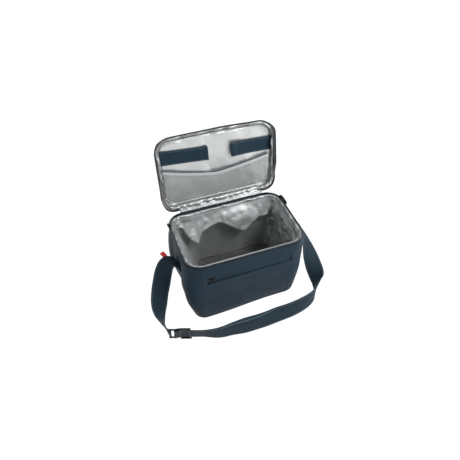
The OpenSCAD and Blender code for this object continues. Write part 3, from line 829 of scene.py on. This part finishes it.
def make_shell():
    """The tub's outer fabric, cut open along the front pocket's zip."""
    lower, upper = POCKET_Z - WINDOW_HALF, POCKET_Z + WINDOW_HALF
    z = np.concatenate([np.array([0.4, 0.9, 1.6, 2.6, 4, 5.8, 8, 10.5, 14]) * MM,
                        np.linspace(0.018, lower - 8 * MM, 26), np.linspace(lower - 6.6 * MM, lower, 6),
                        np.linspace(lower, upper, 11)[1:], np.linspace(upper, upper + 8 * MM, 7)[1:],
                        np.linspace(upper + 8 * MM, WALL_TOP + 1.4 * MM, 9)[1:]])
    points = wall(z)
    zz = points[..., 2]
    calm = ease(zz, 0, 25 * MM) * ease(-zz, -166 * MM, -140 * MM)
    push = 1.2 * MM * (0.8 + ring_noise(zz, 62 * MM, 11)) + 0.5 * MM * (0.6 + ring_noise(zz, 27 * MM, 12))
    push += 0.4 * MM * (0.5 + ring_noise(zz, 17 * MM, 14, facets)) * calm
    push = np.maximum(push, 0.1 * MM) * (0.3 + 0.7 * calm)
    # Flatter beside the pocket's right end, where the pull swings over it
    pull_end = bump(points[..., 0], 110 * MM, 18 * MM) * bump(zz, POCKET_Z, 18 * MM) * (RING_OUT[:, 1] < -0.5)
    push *= 1 - 0.8 * pull_end
    # The front's left corner slumps forwards towards the base
    left_front = 2 * np.minimum(RING_OUT[:, 0], 0) * np.minimum(RING_OUT[:, 1], 0)
    push += 6 * MM * left_front[None] * bump(zz, 55 * MM, 50 * MM)
    # The left side bulges in front of and behind the strap's anchor
    beside = ease(np.abs(points[..., 1] - 4 * MM), 25 * MM, 44 * MM) * ease(-RING_OUT[:, 0], 0.3, 0.9)
    push += 8.5 * MM * beside * bump(zz, 82 * MM, 56 * MM)
    points[..., 1] -= SLUMP[None] * (1 - share(zz)) ** 0.8
    # The fabric is raised where it's turned in along the pocket's opening, and drawn in under the lip
    front = (RING_OUT[:, 1] < -0.99) & (np.abs(RING_AT[:, 0]) < 0.99)
    turned = bump(zz, upper + 0.2 * MM, 2.2 * MM) * 0.5 * MM + bump(zz, lower - 0.2 * MM, 1.6 * MM) * 0.2 * MM
    push += np.where(front, turned, 0)
    push -= ease(zz, WALL_TOP - 3 * MM, WALL_TOP + 1.4 * MM) * 0.5 * MM
    points = points + push[..., None] * OUT
    row_mid = (z[:-1] + z[1:]) / 2
    ring_mid = RING_AT[:, 0] + 1 / FRONT_N
    cut_columns = front & (ring_mid > -0.968) & (ring_mid < 0.97)
    hole = ((row_mid > lower) & (row_mid < upper))[:, None] & cut_columns[None]
    part = grid(points, ring_uv(z), wrap=True, keep=~hole)
    shell = thicken(piece("body_fabric", part, "navy_fabric", weld=False), FABRIC_T)
    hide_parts("outer_shell")
    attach(shell, "root")

    # Rolled edges of the opening, with a row of stitches beside each
    xs = np.linspace(-93.4, 95, 90) * MM
    parts, rows = [], []
    for edge, sign, out, radius in ((upper, 1, 1.7 * MM, 1.3 * MM), (lower, -1, 0.5 * MM, 0.7 * MM)):
        wave = 0.35 * MM * noise(xs, 0 * xs, 24 * MM, 21) + (out - 0.5 * MM) * bump(xs, 9 * MM, 15 * MM)
        y = front_y(edge) + wave
        parts.append(tube(np.column_stack([xs, y - out + 0.3 * radius, edge + 0 * xs]), radius, 10))
        seam = np.column_stack([xs, y - out * 0.9 - 0.15 * MM, edge + sign * 3.4 * MM + 0 * xs])
        rows.append(stitches(seam, np.array([0, -1.0, 0])))
    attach(piece("pocket_welts", join(parts), "navy_fabric"), "root")
    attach(piece("pocket_stitching", join(rows), "thread"), "root")


def make_base():
    """Base panel with a piped seam round it."""
    slump = np.column_stack([0 * U, -SLUMP, 0 * U])
    ring = wall([1.0 * MM], FABRIC_T)[0] + slump
    k = np.linspace(1, 0.06, 12)[:, None, None]
    points = ring[None] * k
    waves = np.abs(noise(points[..., 0], points[..., 1], 45 * MM, 31)) * (1 - k[..., 0])
    points[..., 2] = 0.3 * MM + 0.8 * MM * waves
    closed = np.concatenate([points, points[:, :1]], 1)
    middle = points[-1, ::-1]
    part = join([grid(points[:, ::-1], closed[:, ::-1, :2], wrap=True), fan(middle, middle[:, :2])])
    panel = thicken(piece("base_fabric", part, "navy_fabric"), FABRIC_T)
    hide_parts("base_panel")
    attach(panel, "root")
    seam = tube(wall([1.4 * MM], 0.2 * MM)[0] + slump, 0.9 * MM, 8, closed=True)
    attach(piece("base_piping", seam, "navy_webbing"), "root")


def lip_share():
    """The rim's roll is fullest at the sides and back, and thin along the front."""
    return 1 - 0.6 * ease(-RING_OUT[:, 1], 0.55, 0.95)


def mouth_rows(inset, z):
    """Rows round the mouth whose inset may change along each row."""
    x = RING_AT[:, 0] * (MOUTH_W / 2 - CORNER_R) + RING_OUT[:, 0] * (CORNER_R - inset)
    y = RING_AT[:, 1] * (MOUTH_D / 2 - CORNER_R) + RING_OUT[:, 1] * (CORNER_R - inset)
    return np.stack([x, y, np.broadcast_to(np.asarray(z)[:, None], x.shape)], -1)


def foil_roll(outline, outside, height, thin=1.0):
    """Rows of a foil-faced roll round the mouth. Its outline is in millimetres inwards and up; outside places
    its outer edge. Also the distance along the outline: for each row, and for each point."""
    profile = smooth_line(np.array(outline) * MM, 3)
    outer, inner = outline[0][0] * MM, outline[-1][0] * MM
    inset = outside + (profile[:, :1] - outer) * (thin * (inner - outside) / (inner - outer))
    along = lengths(profile)
    return mouth_rows(inset, height + profile[:, 1]), along, along[:, None] + 0 * inset


def make_rim():
    """The mouth's foil-faced roll, wrinkled where it was sewn."""
    back = ease(RING_OUT[:, 1], 0.8, 1.0)
    points, v, vv = foil_roll([(1.5, -1.0), (1.5, 0.6), (2.6, 1.9), (4.6, 2.5), (6.8, 2.3), (8.8, 1.2),
                               (10.2, -1.2), (10.6, -4.5)], (1.5 + 2.2 * back) * MM, BODY_H, lip_share())
    points[..., 2] -= 1.5 * MM * back
    lift = 1.5 * MM * ring_noise(vv * 0.6, 11 * MM, 41, facets) + 0.9 * MM * ring_noise(vv, 30 * MM, 42)
    lift *= np.sin(np.pi * np.clip(vv / v[-1] * 1.15, 0, 1)) * lip_share() ** 1.5
    points[..., 2] += lift
    points -= (0.5 * lift)[..., None] * OUT
    part = grid(points, ring_uv(v), wrap=True)
    lip = thicken(piece("rim_lip_foil", part, "lip_foil"), FOIL_T)
    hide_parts("rim_lip")
    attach(lip, "root")


# Lower edge of the back lining's loose folds, in millimetres: place across, and height on the wall
LOBES = [(-124, 150), (-104, 140), (-92, 118), (-80, 92), (-61, 69), (-50, 108), (-30, 121), (-9, 126),
         (12, 108), (37, 86), (56, 76), (72, 98), (90, 112), (108, 111), (124, 120)]
FOLD_SLOPE = 0.33           # how far a fold hangs inwards, for each part of its drop
FOLD_TOP = 165 * MM
FLOOR_Z = 24 * MM


def liner_rows(z):
    """Rings of the loose lining before its folds: the left side hangs well in from the wall."""
    drop = np.clip(FOLD_TOP - z, 0, None)
    left, right = -124.7 * MM + 0.35 * drop, 124.7 * MM - 0.12 * drop
    back, front = 77.7 * MM - 0.05 * drop, -77.7 * MM + 0.05 * drop
    radius = 26 * MM - 12 * MM * ease(drop, 0, 45 * MM)
    points = rings((right - left) / 2, (back - front) / 2, radius, z)
    points[..., 0] += ((left + right) / 2)[:, None]
    points[..., 1] += ((front + back) / 2)[:, None]
    return points


def make_liner():
    """Loose foil lining: it hangs from the rim in creased folds over a flatter lower part."""
    top = BODY_H - 3.6 * MM
    z = np.concatenate([np.linspace(top, 60 * MM, 66), np.linspace(58 * MM, FLOOR_Z, 16)])
    points = liner_rows(z)
    xx, zz = points[..., 0], points[..., 2]
    shelf = mouth_rows(np.stack([1.2 * MM + 9.1 * MM * lip_share(), np.full(len(U), CAVITY_IN + 0.7 * MM)]),
                       np.array([top + 1.4 * MM, top + 1.2 * MM]))
    lobes = np.array(LOBES) * MM
    depth = FOLD_SLOPE * (FOLD_TOP - lobes[:, 1])
    places = lobes[:, 0] - 0.37 * depth
    edge = np.interp(xx, places, lobes[:, 1] + 1.08 * depth)
    depth = np.interp(xx, places, depth)
    drop = top - zz
    hanging = np.where(zz > edge, depth * drop / (top - edge), depth * (1 - ease(edge - zz, 0, 6 * MM)))
    on_back, on_right = (ease(RING_OUT[:, axis], 0.4, 0.9)[None] for axis in (1, 0))
    folds = np.where(zz > edge, 0.75, 0.12) * on_back + 2.0 * on_right * ease(zz, 50 * MM, 100 * MM)
    folds += 0.3 * (1 - np.clip(on_back + on_right, 0, 1))
    crumple = 3.6 * MM * ring_noise(zz * 0.55, 26 * MM, 53, facets)
    crumple += 1.5 * MM * ring_noise(zz * 0.8, 11 * MM, 54, facets)
    puckers = 1.3 * MM * ring_noise(zz * 0.25, 7 * MM, 58, facets) * bump(drop, 12 * MM, 20 * MM)
    calm = ring_noise(zz * 0.6, 44 * MM, 55, facets) * 1.6 * MM
    inward = hanging * on_back + (crumple * folds + calm + puckers) * ease(drop, 0, 14 * MM)
    inward += 5 * MM * on_right * bump(zz, 125 * MM, 30 * MM)
    points = points - np.maximum(inward, -1.2 * MM)[..., None] * OUT
    every = np.concatenate([shelf, points])
    v = np.concatenate([[-6 * MM, -1 * MM], top - z])
    ring = points[-1]
    xs, ys = np.meshgrid(*(np.linspace(ring[:, k].min(), ring[:, k].max(), n) for k, n in ((0, 80), (1, 50))))
    creases = 1.2 * MM * (1 + facets(xs, ys, 34 * MM, 56)) + 0.7 * MM * (1 + facets(xs, ys, 13 * MM, 57))
    base = np.stack([xs, ys, FLOOR_Z + creases + 1.6 * MM * bump(ys, 66 * MM, 2 * MM)], -1)
    part = grid(every[:, ::-1], ring_uv(v)[:, ::-1], wrap=True)
    # The walls take the darker tub foil, which is painted shade of the tub's inside
    walls = piece("liner_foil", part, "tub_foil")
    # The floor takes the near-black floor film, which is painted shade of the tub's floor
    floor = piece("liner_floor_film", grid(base, base[..., :2]), "floor_film")
    for obj in (walls, floor):
        thicken(obj, FOIL_T)
        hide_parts("liner")
        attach(obj, "root")


# ---------- zips ----------

def zip_line(inset, back):
    """Line round the left, front and right of the mouth; back is how far it runs round the back corners,
    from 0 to 1."""
    ring = mouth_ring(inset)
    left = FRONT_N // 2 + int(round(CORNER_N * (1 - back)))
    right = len(ring) - FRONT_N // 2 - int(round(CORNER_N * (1 - back)))
    return ring[left:right + 1], OUT[left:right + 1]


def make_zip_side(name, body, lid):
    """Tape and teeth of one side of the main zip."""
    place = (lambda p: opened(spread(p))) if lid else (lambda p: p)
    sign = 1 if lid else -1
    line, out = zip_line(0.2 * MM, 1.0)
    low = 2.4 * MM * ease(-out[:, 1], 0.6, 0.95)
    heights = np.array([8.6, 6.2, 4.2, 2.4, 1.4]) * MM * sign
    waves = 0.25 * MM * noise(lengths(line), 0 * line[:, 0], 19 * MM, 61)
    rows = np.stack([line + [0, 0, ZIP_Z + h] + out * (waves * (1 - i / 5))[:, None]
                     for i, h in enumerate(heights)])
    if lid:
        rows[:3] -= out * low[:, None]
    else:
        rows[2:, :, 2] -= low
    tape = piece(name + "_tape", grid(place(rows), sheet_uv(heights, lengths(line))), "zip_tape")
    thicken(tape, 0.6 * MM, 0.0)
    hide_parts(name + "_zip_tape")
    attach(tape, body)
    # Teeth: short rounded blocks with the same pitch all the way round
    pitch, tall = 1.9 * MM, 1.5 * MM
    outline = np.array([(-0.42, 0.0), (-0.36, 0.75), (0.0, 1.0), (0.36, 0.75), (0.42, 0.0), (0.0, -0.15)])
    up = np.array([0, 0, 1.0])
    uv, end_uv = np.zeros((4, 7, 2)), np.zeros((6, 2))
    parts = []
    for at, out, ahead in zip(*line_frame(*zip_line(0.8 * MM, 0.0), pitch)):
        block = []
        for depth, grow in ((-0.975, 0.6), (-0.585, 1.0), (0.585, 1.0), (0.975, 0.6)):
            block.append([at + ahead * x * pitch * grow + out * depth * MM
                          + up * (ZIP_Z + sign * (2.1 * MM - y * tall * grow)) for x, y in outline])
        block = place(np.array(block))
        parts += [grid(block, uv, wrap=True), fan(block[0, ::-1], end_uv), fan(block[-1], end_uv)]
    teeth = piece(name + "_teeth", join(parts), "zip_teeth", weld=False, crisp=50)
    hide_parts(name + "_zip_coil")
    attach(teeth, body)


POCKET_SLIT_HALF = 0.08     # in millimetres


def make_front_zip():
    """Pocket zip: two navy tapes that meet over a fine slit, and the coils behind them."""
    xs = np.linspace(-95, 98, 120) * MM
    bulge = 1.1 * MM * bump(xs, 9 * MM, 13 * MM) + 0.35 * MM * noise(xs, 0 * xs, 20 * MM, 71)
    parts, coils = [], []
    for sign in (1, -1):
        v = np.array([POCKET_SLIT_HALF, 1.4, 3.5, 6, 8.5, 11.5]) * MM * sign
        uv = sheet_uv(v, xs)
        xx, vv = uv[..., 0], uv[..., 1]
        depth = ZIP_IN - bulge[None] * np.cos(np.clip(vv / (24 * MM), -1, 1) * np.pi)
        rows = np.stack([xx, front_y(POCKET_Z + vv) + depth, POCKET_Z + vv], -1)
        parts.append(grid(rows[::sign], uv[::sign]))
        y = front_y(POCKET_Z) + ZIP_IN + 0.9 * MM
        for x in np.arange(-77, 96, 1.5) * MM:
            loop = [(x, y, POCKET_Z + sign * 0.55 * MM),
                    (x + 0.3 * MM, y + 0.5 * MM, POCKET_Z + sign * 1.4 * MM),
                    (x + 0.5 * MM, y, POCKET_Z + sign * 2.4 * MM)]
            coils.append(tube(loop, 0.3 * MM, 5))
    tapes = thicken(piece("pocket_zip_tapes", join(parts), "navy_tape"), 0.5 * MM, 0.0)
    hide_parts("front_zip_tapes")
    coil = piece("pocket_zip_coils", join(coils), "zip_teeth")
    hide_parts("front_zip_coils")
    for obj in (tapes, coil):
        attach(obj, "root")


# ---------- hinge ----------

def make_hinge():
    """Strips of fabric, dark tape and foil that join the back of the mouth to the lid."""
    xs = np.linspace(-HINGE_HALF_W, HINGE_HALF_W, 60)
    back = MOUTH_D / 2
    outer = [(0, back + 1.5 * MM, ZIP_Z - 18 * MM), (0, back + 1.5 * MM, ZIP_Z - 6 * MM),
             (0, back + 1.9 * MM, ZIP_Z - 2 * MM)]
    outer += [tuple(in_lid(0, 1.0 * MM, h * MM)) for h in (2, 6, 13)]
    groove = [(0, back - 5.5 * MM, BODY_H - 2.0 * MM), (0, back - 1.8 * MM, BODY_H + 0.4 * MM),
              (0, back + 2.0 * MM, ZIP_Z - 2.6 * MM)]
    fold = [(0, back + 1.2 * MM, ZIP_Z - 3.4 * MM), (0, back + 0.6 * MM, ZIP_Z - 0.6 * MM)]
    fold += [tuple(in_lid(0, s * MM, h * MM)) for s, h in ((1.8, 1.0), (4.5, 2.4), (7, 4.5))]
    for name, profile, material, slot, seed in (("hinge_fabric", outer, "navy_fabric", "navy_fabric", 81),
                                                ("hinge_tape", groove, "zip_tape", "zip_tape", 82),
                                                ("hinge_foil", fold, "lip_foil", "foil", 83)):
        line = smooth_line(np.array(profile, float), 5)
        v = lengths(line)
        uv = sheet_uv(v, xs)
        xx, vv = uv[..., 0], uv[..., 1]
        points = np.stack([xx, line[:, 1:2] + 0 * xx, line[:, 2:3] + 0 * xx], -1)
        amount = (1.0 if name == "hinge_foil" else 0.3) * MM
        points[..., 2] += amount * facets(xx, vv, 10 * MM, seed) * np.sin(np.pi * vv / v[-1])
        if name != "hinge_fabric":
            points, uv = points[:, ::-1], uv[:, ::-1]
        obj = thicken(piece(name, grid(points, uv), material), 0.8 * MM, 0.0)
        tuple(in_lid(0, 5 * MM, 7 * MM))
        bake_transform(obj)
        if name == "hinge_fabric":
            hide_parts("hinge_body_half", "hinge_lid_half")


# ---------- lid ----------

RIGHT_BULGE = 8 * MM
CORNER_BULGE = 3.5 * MM
SLOPE_FROM = 4.8 * MM       # height above the zip from which the lid's free edge slopes back
FREE_EDGE_SLOPE = 0.85


def spread(points):
    """Closed lid's points, drawn out a little at the right and at the corners beside the hinge."""
    points = np.array(points, float)
    s = (HINGE_Y - points[..., 1]) / MOUTH_D
    right = ease(points[..., 0], 0.06, 0.12) * ease(s, 0.12, 0.4) * (1 - ease(s, 0.8, 1.0))
    right *= ease(points[..., 2] - ZIP_Z, 0.5 * MM, 8 * MM)
    corner = ease(np.abs(points[..., 0]), 0.085, 0.130) * (1 - ease(s, 0.02, 0.28))
    points[..., 0] += RIGHT_BULGE * right + CORNER_BULGE * corner * np.sign(points[..., 0])
    points[..., 1] += 5 * MM * corner + 4 * MM * ease(points[..., 0], 0, 0.11) * ease(s, 0.6, 1.0)
    return points


def step_in(points, amount):
    """Closed lid's points, moved back from its free edge, whose outside slopes."""
    points = np.array(points, float)
    points[..., 1] += amount * ease((HINGE_Y - points[..., 1]) / MOUTH_D, 0.8, 0.95)
    return points


def taper(points):
    """Closed lid's points, pressed thinner towards its free edge, which slopes back from the zip."""
    points = spread(points)
    s = np.clip((HINGE_Y - points[..., 1]) / MOUTH_D, 0, 1)
    h = points[..., 2] - ZIP_Z
    thin = 1 - 0.46 * s ** 1.2
    points[..., 2] = ZIP_Z + np.where(h > 6 * MM, 6 * MM + (h - 6 * MM) * thin, h)
    above = np.maximum(points[..., 2] - ZIP_Z - SLOPE_FROM, 0)
    points[..., 1] += FREE_EDGE_SLOPE * above * ease(s, 0.55, 1.0)
    return points


def lid_rings(h, inset, k, crown, lower):
    """Rings of the closed lid: up its edge, then in over a panel by shares k of its size."""
    half_w = np.concatenate([MOUTH_W / 2 - inset, (MOUTH_W / 2 - inset[-1]) * k])
    half_d = np.concatenate([MOUTH_D / 2 - inset, (MOUTH_D / 2 - inset[-1]) * k])
    radius = np.concatenate([CORNER_R - inset, (CORNER_R - inset[-1]) * k])
    rise = np.concatenate([h, h[-1] + crown * (1 - k ** 2.2)])
    return rings(half_w, half_d, radius, ZIP_Z + rise - lower)


def make_lid_shell():
    """Padded outer cover of the lid, and the foam under it."""
    t = np.radians(np.linspace(10, 90, 9))
    h = np.concatenate([np.linspace(4.8, 12, 6), 12 + 15 * np.sin(t)]) * MM
    inset = np.concatenate([np.zeros(6), 11 * (1 - np.cos(t))]) * MM
    k = np.linspace(1, 0.05, 18)[1:]
    points = lid_rings(h, inset, k, CROWN, 0)
    xx, yy = points[..., 0], points[..., 1]
    flat = np.concatenate([np.zeros(len(h)), np.ones(len(k))])[:, None]
    points[..., 2] += flat * (0.5 * MM * noise(xx, yy, 48 * MM, 91) + 0.25 * MM * noise(xx, yy, 20 * MM, 92))
    side = 0.5 * MM * ring_noise(points[..., 2], 40 * MM, 93) * (1 - flat)
    points = taper(points + side[..., None] * OUT)
    v = np.concatenate([h, h[-1] + (1 - k) * 0.09])
    part = join([grid(opened(points), ring_uv(v), wrap=True), fan(opened(points[-1]), points[-1][:, :2])])
    shell = thicken(piece("lid_cover", part, "navy_fabric"), FABRIC_T)
    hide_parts("lid_top", "lid_gusset")
    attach(shell, "lid")
    seam = tube(opened(taper(mouth_ring(1.6 * MM) + [0, 0, ZIP_Z + 20 * MM])), 1.1 * MM, 8, closed=True)
    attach(piece("lid_piping", seam, "navy_webbing"), "lid")
    # Foam: the same shape, inside the cover and behind the lining
    low = [np.array([RECESS_H + 1.2 * MM, 8.4 * MM, 8.4 * MM]), np.array([11.4, 8.6, 1.6]) * MM]
    inner = rings(MOUTH_W / 2 - low[1], MOUTH_D / 2 - low[1], CORNER_R - low[1], ZIP_Z + low[0])
    inner = np.concatenate([step_in(spread(inner[:1]), 6 * MM), step_in(spread(inner[1:2]), 2 * MM),
                            taper(inner[2:])])
    outer = taper(lid_rings(h[3:] - 0.3 * MM, inset[3:] + 1.5 * MM, k, CROWN * 0.8, 1.6 * MM))
    foam = np.concatenate([inner, outer])
    v = np.linspace(0, 0.15, len(foam))
    part = join([grid(opened(foam), ring_uv(v), wrap=True), fan(opened(foam[-1]), foam[-1][:, :2]),
                 fan(opened(foam[0, ::-1]), foam[0, ::-1][:, :2])])
    pad = piece("lid_padding", part, "foam")
    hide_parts("lid_foam")
    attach(pad, "lid")


SLIDER_Y = 42 * MM          # the main sliders at rest


def beside_slider():
    """1 in the ring columns beside a main slider at rest and its pull, 0 away from them."""
    x, y = mouth_ring(0)[:, 0], mouth_ring(0)[:, 1]
    return (1 - ease(np.abs(y - SLIDER_Y), 28 * MM, 40 * MM)) * ease(np.abs(x), 115 * MM, 128 * MM)


def make_lid_lip():
    """Foil-faced roll round the lid's inside edge."""
    hinge = ease(RING_OUT[:, 1], 0.8, 1.0) * ease(HINGE_HALF_W - np.abs(mouth_ring(0)[:, 0]), -4 * MM, 4 * MM)
    outside = 1.5 * MM - 3.6 * MM * hinge + 4.5 * MM * beside_slider()
    outside += 3 * MM * ease(RING_OUT[:, 1], 0.4, 0.7) * (1 - hinge)
    points, v, vv = foil_roll([(1.5, 6.5), (1.6, 4.6), (2.8, 3.0), (5.0, 2.4), (7.4, 2.8), (9.4, 4.6),
                               (10.6, 8.0), (10.9, 12.0)], outside, ZIP_Z)
    lift = 2.4 * MM * ring_noise(vv * 0.6, 10 * MM, 101, facets) + 0.9 * MM * ring_noise(vv, 27 * MM, 102)
    lift *= np.sin(np.pi * np.clip(vv / v[-1] * 1.1, 0, 1))
    points[..., 2] -= lift
    points = spread(points - (0.5 * lift)[..., None] * OUT)
    part = grid(opened(points)[:, ::-1], ring_uv(v)[:, ::-1], wrap=True)
    lip = thicken(piece("lid_lip_foil", part, "lip_foil"), FOIL_T)
    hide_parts("lid_lip")
    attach(lip, "lid")


def panel_relief(x, s):
    """Soft upright facets of the lid's lining, out of the panel."""
    calm = 1 - 0.93 * bump(s, 121 * MM, 24 * MM)
    tall = facets(x, s * 0.35, 32 * MM, 111) * 2.8 * MM
    small = facets(x, s * 0.6, 14 * MM, 112) * 0.9 * MM
    return (tall + small + 0.8 * MM) * calm


def make_lid_liner():
    """The lid's foil lining: short walls and a softly faceted panel."""
    h = np.concatenate([np.linspace(7, 11.5, 5), [12.8, 13.6, 14.0]]) * MM
    inset = np.concatenate([np.full(5, 9.8), [10.2, 11.0, 12.4]]) * MM
    k = np.linspace(1, 0.03, 40)[1:]
    points = lid_rings(h, inset, k, 0, 0)
    x, s = points[..., 0], HINGE_Y - points[..., 1]
    flat = np.concatenate([np.zeros(len(h)), np.clip((1 - k) * 14, 0, 1)])[:, None]
    points[..., 2] += np.minimum(-panel_relief(x, s), 0.4 * MM) * flat
    points = step_in(spread(points), 4 * MM * ease(points[..., 2] - ZIP_Z, 7 * MM, 12 * MM))
    v = np.concatenate([h, h[-1] + (1 - k) * 0.08])
    points, uv = opened(points)[:, ::-1], ring_uv(v)[:, ::-1]
    panel = join([grid(points[len(h) - 1:], uv[len(h) - 1:], wrap=True), fan(points[-1], points[-1][:, :2])])
    panel = piece("lid_liner_foil", panel, "foil")
    walls = piece("lid_liner_walls", grid(points[:len(h)], uv[:len(h)], wrap=True), "lip_foil")
    for obj in (panel, walls):
        thicken(obj, FOIL_T)
        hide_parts("lid_liner")
        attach(obj, "lid")


# ---------- net pocket ----------

NET_HALF_W = 124 * MM
NET_HALF = (3.1 * MM, 2.4 * MM)     # half a mesh across and up
NET_THREAD = 1.35 * MM
HEM_H = 9 * MM              # width of the net's hem


def hem_edge(x):
    """Distance of the pocket's free edge from the hinge."""
    t = np.abs(x) / NET_HALF_W
    return 75.5 * MM + np.where(x < 0, 27 * MM * t ** 1.3, 15 * MM * t ** 1.25)


def hem_off(x):
    """How far the pocket's free edge stands off the lining."""
    return 2.6 * MM + 2.6 * MM * (1 - (x / NET_HALF_W) ** 2)


def net_foot(x):
    """Sewn bottom edge, which follows the lid's round back corners."""
    r = CORNER_R - CAVITY_IN
    past = np.clip(np.abs(x) - HINGE_HALF_W, 0, r)
    return 15 * MM + r - np.sqrt(r * r - past * past)


def net_point(x, s):
    """Point of the net: it stands off the lining towards its free edge."""
    foot, top = net_foot(x), hem_edge(x)
    t = np.clip((s - foot) / (top - foot), 0, 1)
    off = 0.5 * MM + hem_off(x) * (1 - (1 - t) ** 2)
    ripple = 0.7 * MM * noise(x, s * 0.5, 26 * MM, 121) * t
    return in_lid(x, s, RECESS_H - off - 1.2 * MM - np.abs(ripple))


def make_net():
    """Net pocket of the lid: diamond net, hem and bindings."""
    across, up = NET_HALF
    columns = int(NET_HALF_W / across)
    index, verts, faces = {}, [], []

    def node(i, j):
        if (i, j) not in index:
            index[i, j] = len(verts)
            verts.append((i * across, j * up))
        return index[i, j]
    for i in range(-columns + 1, columns):
        for j in range(2, int(0.115 / up)):
            x, s = i * across, j * up
            if (i + j) % 2 or not net_foot(x) + up < s < hem_edge(x) - HEM_H + up:
                continue
            faces.append([node(i - 1, j), node(i, j - 1), node(i + 1, j), node(i, j + 1)])
    flat = np.array(verts)
    x = np.clip(flat[:, 0], -NET_HALF_W, NET_HALF_W)
    corners = np.concatenate([flat[face] for face in faces])
    net = piece("mesh_net", (net_point(x, flat[:, 1]), faces, corners), "mesh")
    wires = net.modifiers.new("threads", "WIREFRAME")
    wires.thickness = NET_THREAD
    wires.use_even_offset = False
    wires.use_boundary = True
    wires.use_replace = True

    xs = np.linspace(-NET_HALF_W, NET_HALF_W, 90)
    tt, xx = np.meshgrid(np.linspace(0, 1, 7), xs, indexing="ij")
    ss = hem_edge(xx) - HEM_H * (1 - tt)
    proud = LID_DOWN * 0.3 * MM
    part = grid(net_point(xx, ss) + proud, np.stack([xx, ss], -1))
    hem = thicken(piece("mesh_hem_band", part, "hem"), 1.0 * MM, 0.0)
    edge = net_point(xs, hem_edge(xs)) + proud
    cord = piece("mesh_hem_binding", tube(edge, 0.95 * MM, 8), "navy_tape")
    foot = net_point(xs, net_foot(xs) + 1.0 * MM)
    seam = piece("mesh_foot_binding", tube(foot, 0.9 * MM, 8), "foil")
    for obj in (net, hem, cord, seam):
        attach(obj, "lid")
    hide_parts("mesh_pocket")
    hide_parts("mesh_hem")


# ---------- bands ----------

BAND_W = 32 * MM
BAND_OFF = 3.1 * MM         # the bands, off the lining panel
SEAM_AT = 0.84              # the sewn edges, as a share of the band's half width


def make_band(name, root, tip, root_s, tip_s, lift):
    """Holding band of the lid: a doubled strip of fabric with sewn edges, free at its tip."""
    sign = 1 if tip > root else -1
    n = 60
    t = np.linspace(0, 1, n)
    x = root + (tip - root) * t
    middle = root_s + (tip_s - root_s) * t
    w = np.linspace(-1, 1, 11)
    tt, ww = np.meshgrid(t, w, indexing="ij")
    xx = root + (tip - root) * tt
    rise = lift * ease(tt, 0.45, 1.0) + 0.5 * MM * noise(xx, ww * BAND_W / 2, 34 * MM, 131 + sign)
    hem = 0.5 * MM * ease(tt, 0.88, 0.90) * (1 - ease(tt, 0.995, 1.0) * 0.6)
    edge = 0.25 * MM * bump(np.abs(ww), SEAM_AT, 0.07)
    off = BAND_OFF + rise + hem - edge - 0.3 * MM * np.abs(ww) ** 8
    ss = middle[:, None] + ww * BAND_W / 2
    points, uv = in_lid(xx, ss, RECESS_H - off), np.stack([ss, xx], -1)
    if sign > 0:
        points, uv = points[:, ::-1], uv[:, ::-1]
    band = piece(name + "_fabric", grid(points, uv), "navy_fabric")
    thicken(band, 1.3 * MM, 0.0)
    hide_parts(name)
    rows = []
    for side in (-SEAM_AT, SEAM_AT):
        line = in_lid(x, middle + side * BAND_W / 2, RECESS_H - off[:, 5] - 0.45 * MM)
        rows.append(stitches(line[2:-3], LID_DOWN))
    k = int(0.88 * (n - 1))
    s = middle[k] + np.linspace(-SEAM_AT, SEAM_AT, 12) * BAND_W / 2
    rows.append(stitches(in_lid(x[k] + 0 * s, s, RECESS_H - off[k, 5] - 0.5 * MM), LID_DOWN))
    thread = piece(name + "_stitching", join(rows), "pale_thread")
    start = in_lid(root + 1 * MM * sign, root_s, RECESS_H - BAND_OFF)
    end = in_lid(root + 8 * MM * sign, root_s, RECESS_H - BAND_OFF)
    for obj in (band, thread):
        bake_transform(obj)


# ---------- CAD nodes that stay ----------

def paint_nodes():
    """Materials, and rounded edges where they are seen, for the CAD nodes that stay."""
    slots = {"board": "base_board", "foam": "foam_wrap foam_base", "pocket_lining": "pocket_bag",
             "zip_metal": "front_slider front_pull slider_left pull_left slider_right pull_right",
             "navy_fabric": "strap_anchor_left strap_anchor_right", "buckle": "strap_ring strap_slider",
             "hook_loop": "loop_pad_left loop_pad_right hook_pad_left hook_pad_right"}
    rounds = {"zip_metal": 0.35 * MM, "buckle": 0.9 * MM, "navy_fabric": 0.4 * MM}
    for slot, nodes in slots.items():
        for node in nodes.split():
            obj = frame["nodes"][node]
            obj.data.materials.clear()
            obj.data.materials.append(MATERIALS[slot])
            if slot in rounds:
                soften(obj, rounds[slot])


make_camera()
make_studio()
MATERIALS = make_materials()
make_straps()
make_shell()
make_base()
make_rim()
make_liner()
make_zip_side("body", "root", lid=False)
make_zip_side("lid", "lid", lid=True)
make_front_zip()
make_hinge()
make_lid_shell()
make_lid_lip()
make_lid_liner()
make_net()
make_band("band_left", -123.5 * MM, -17 * MM, 130 * MM, 121.5 * MM, 0.4 * MM)
make_band("band_right", 131 * MM, 34 * MM, 114 * MM, 119 * MM, 5 * MM)
paint_nodes()
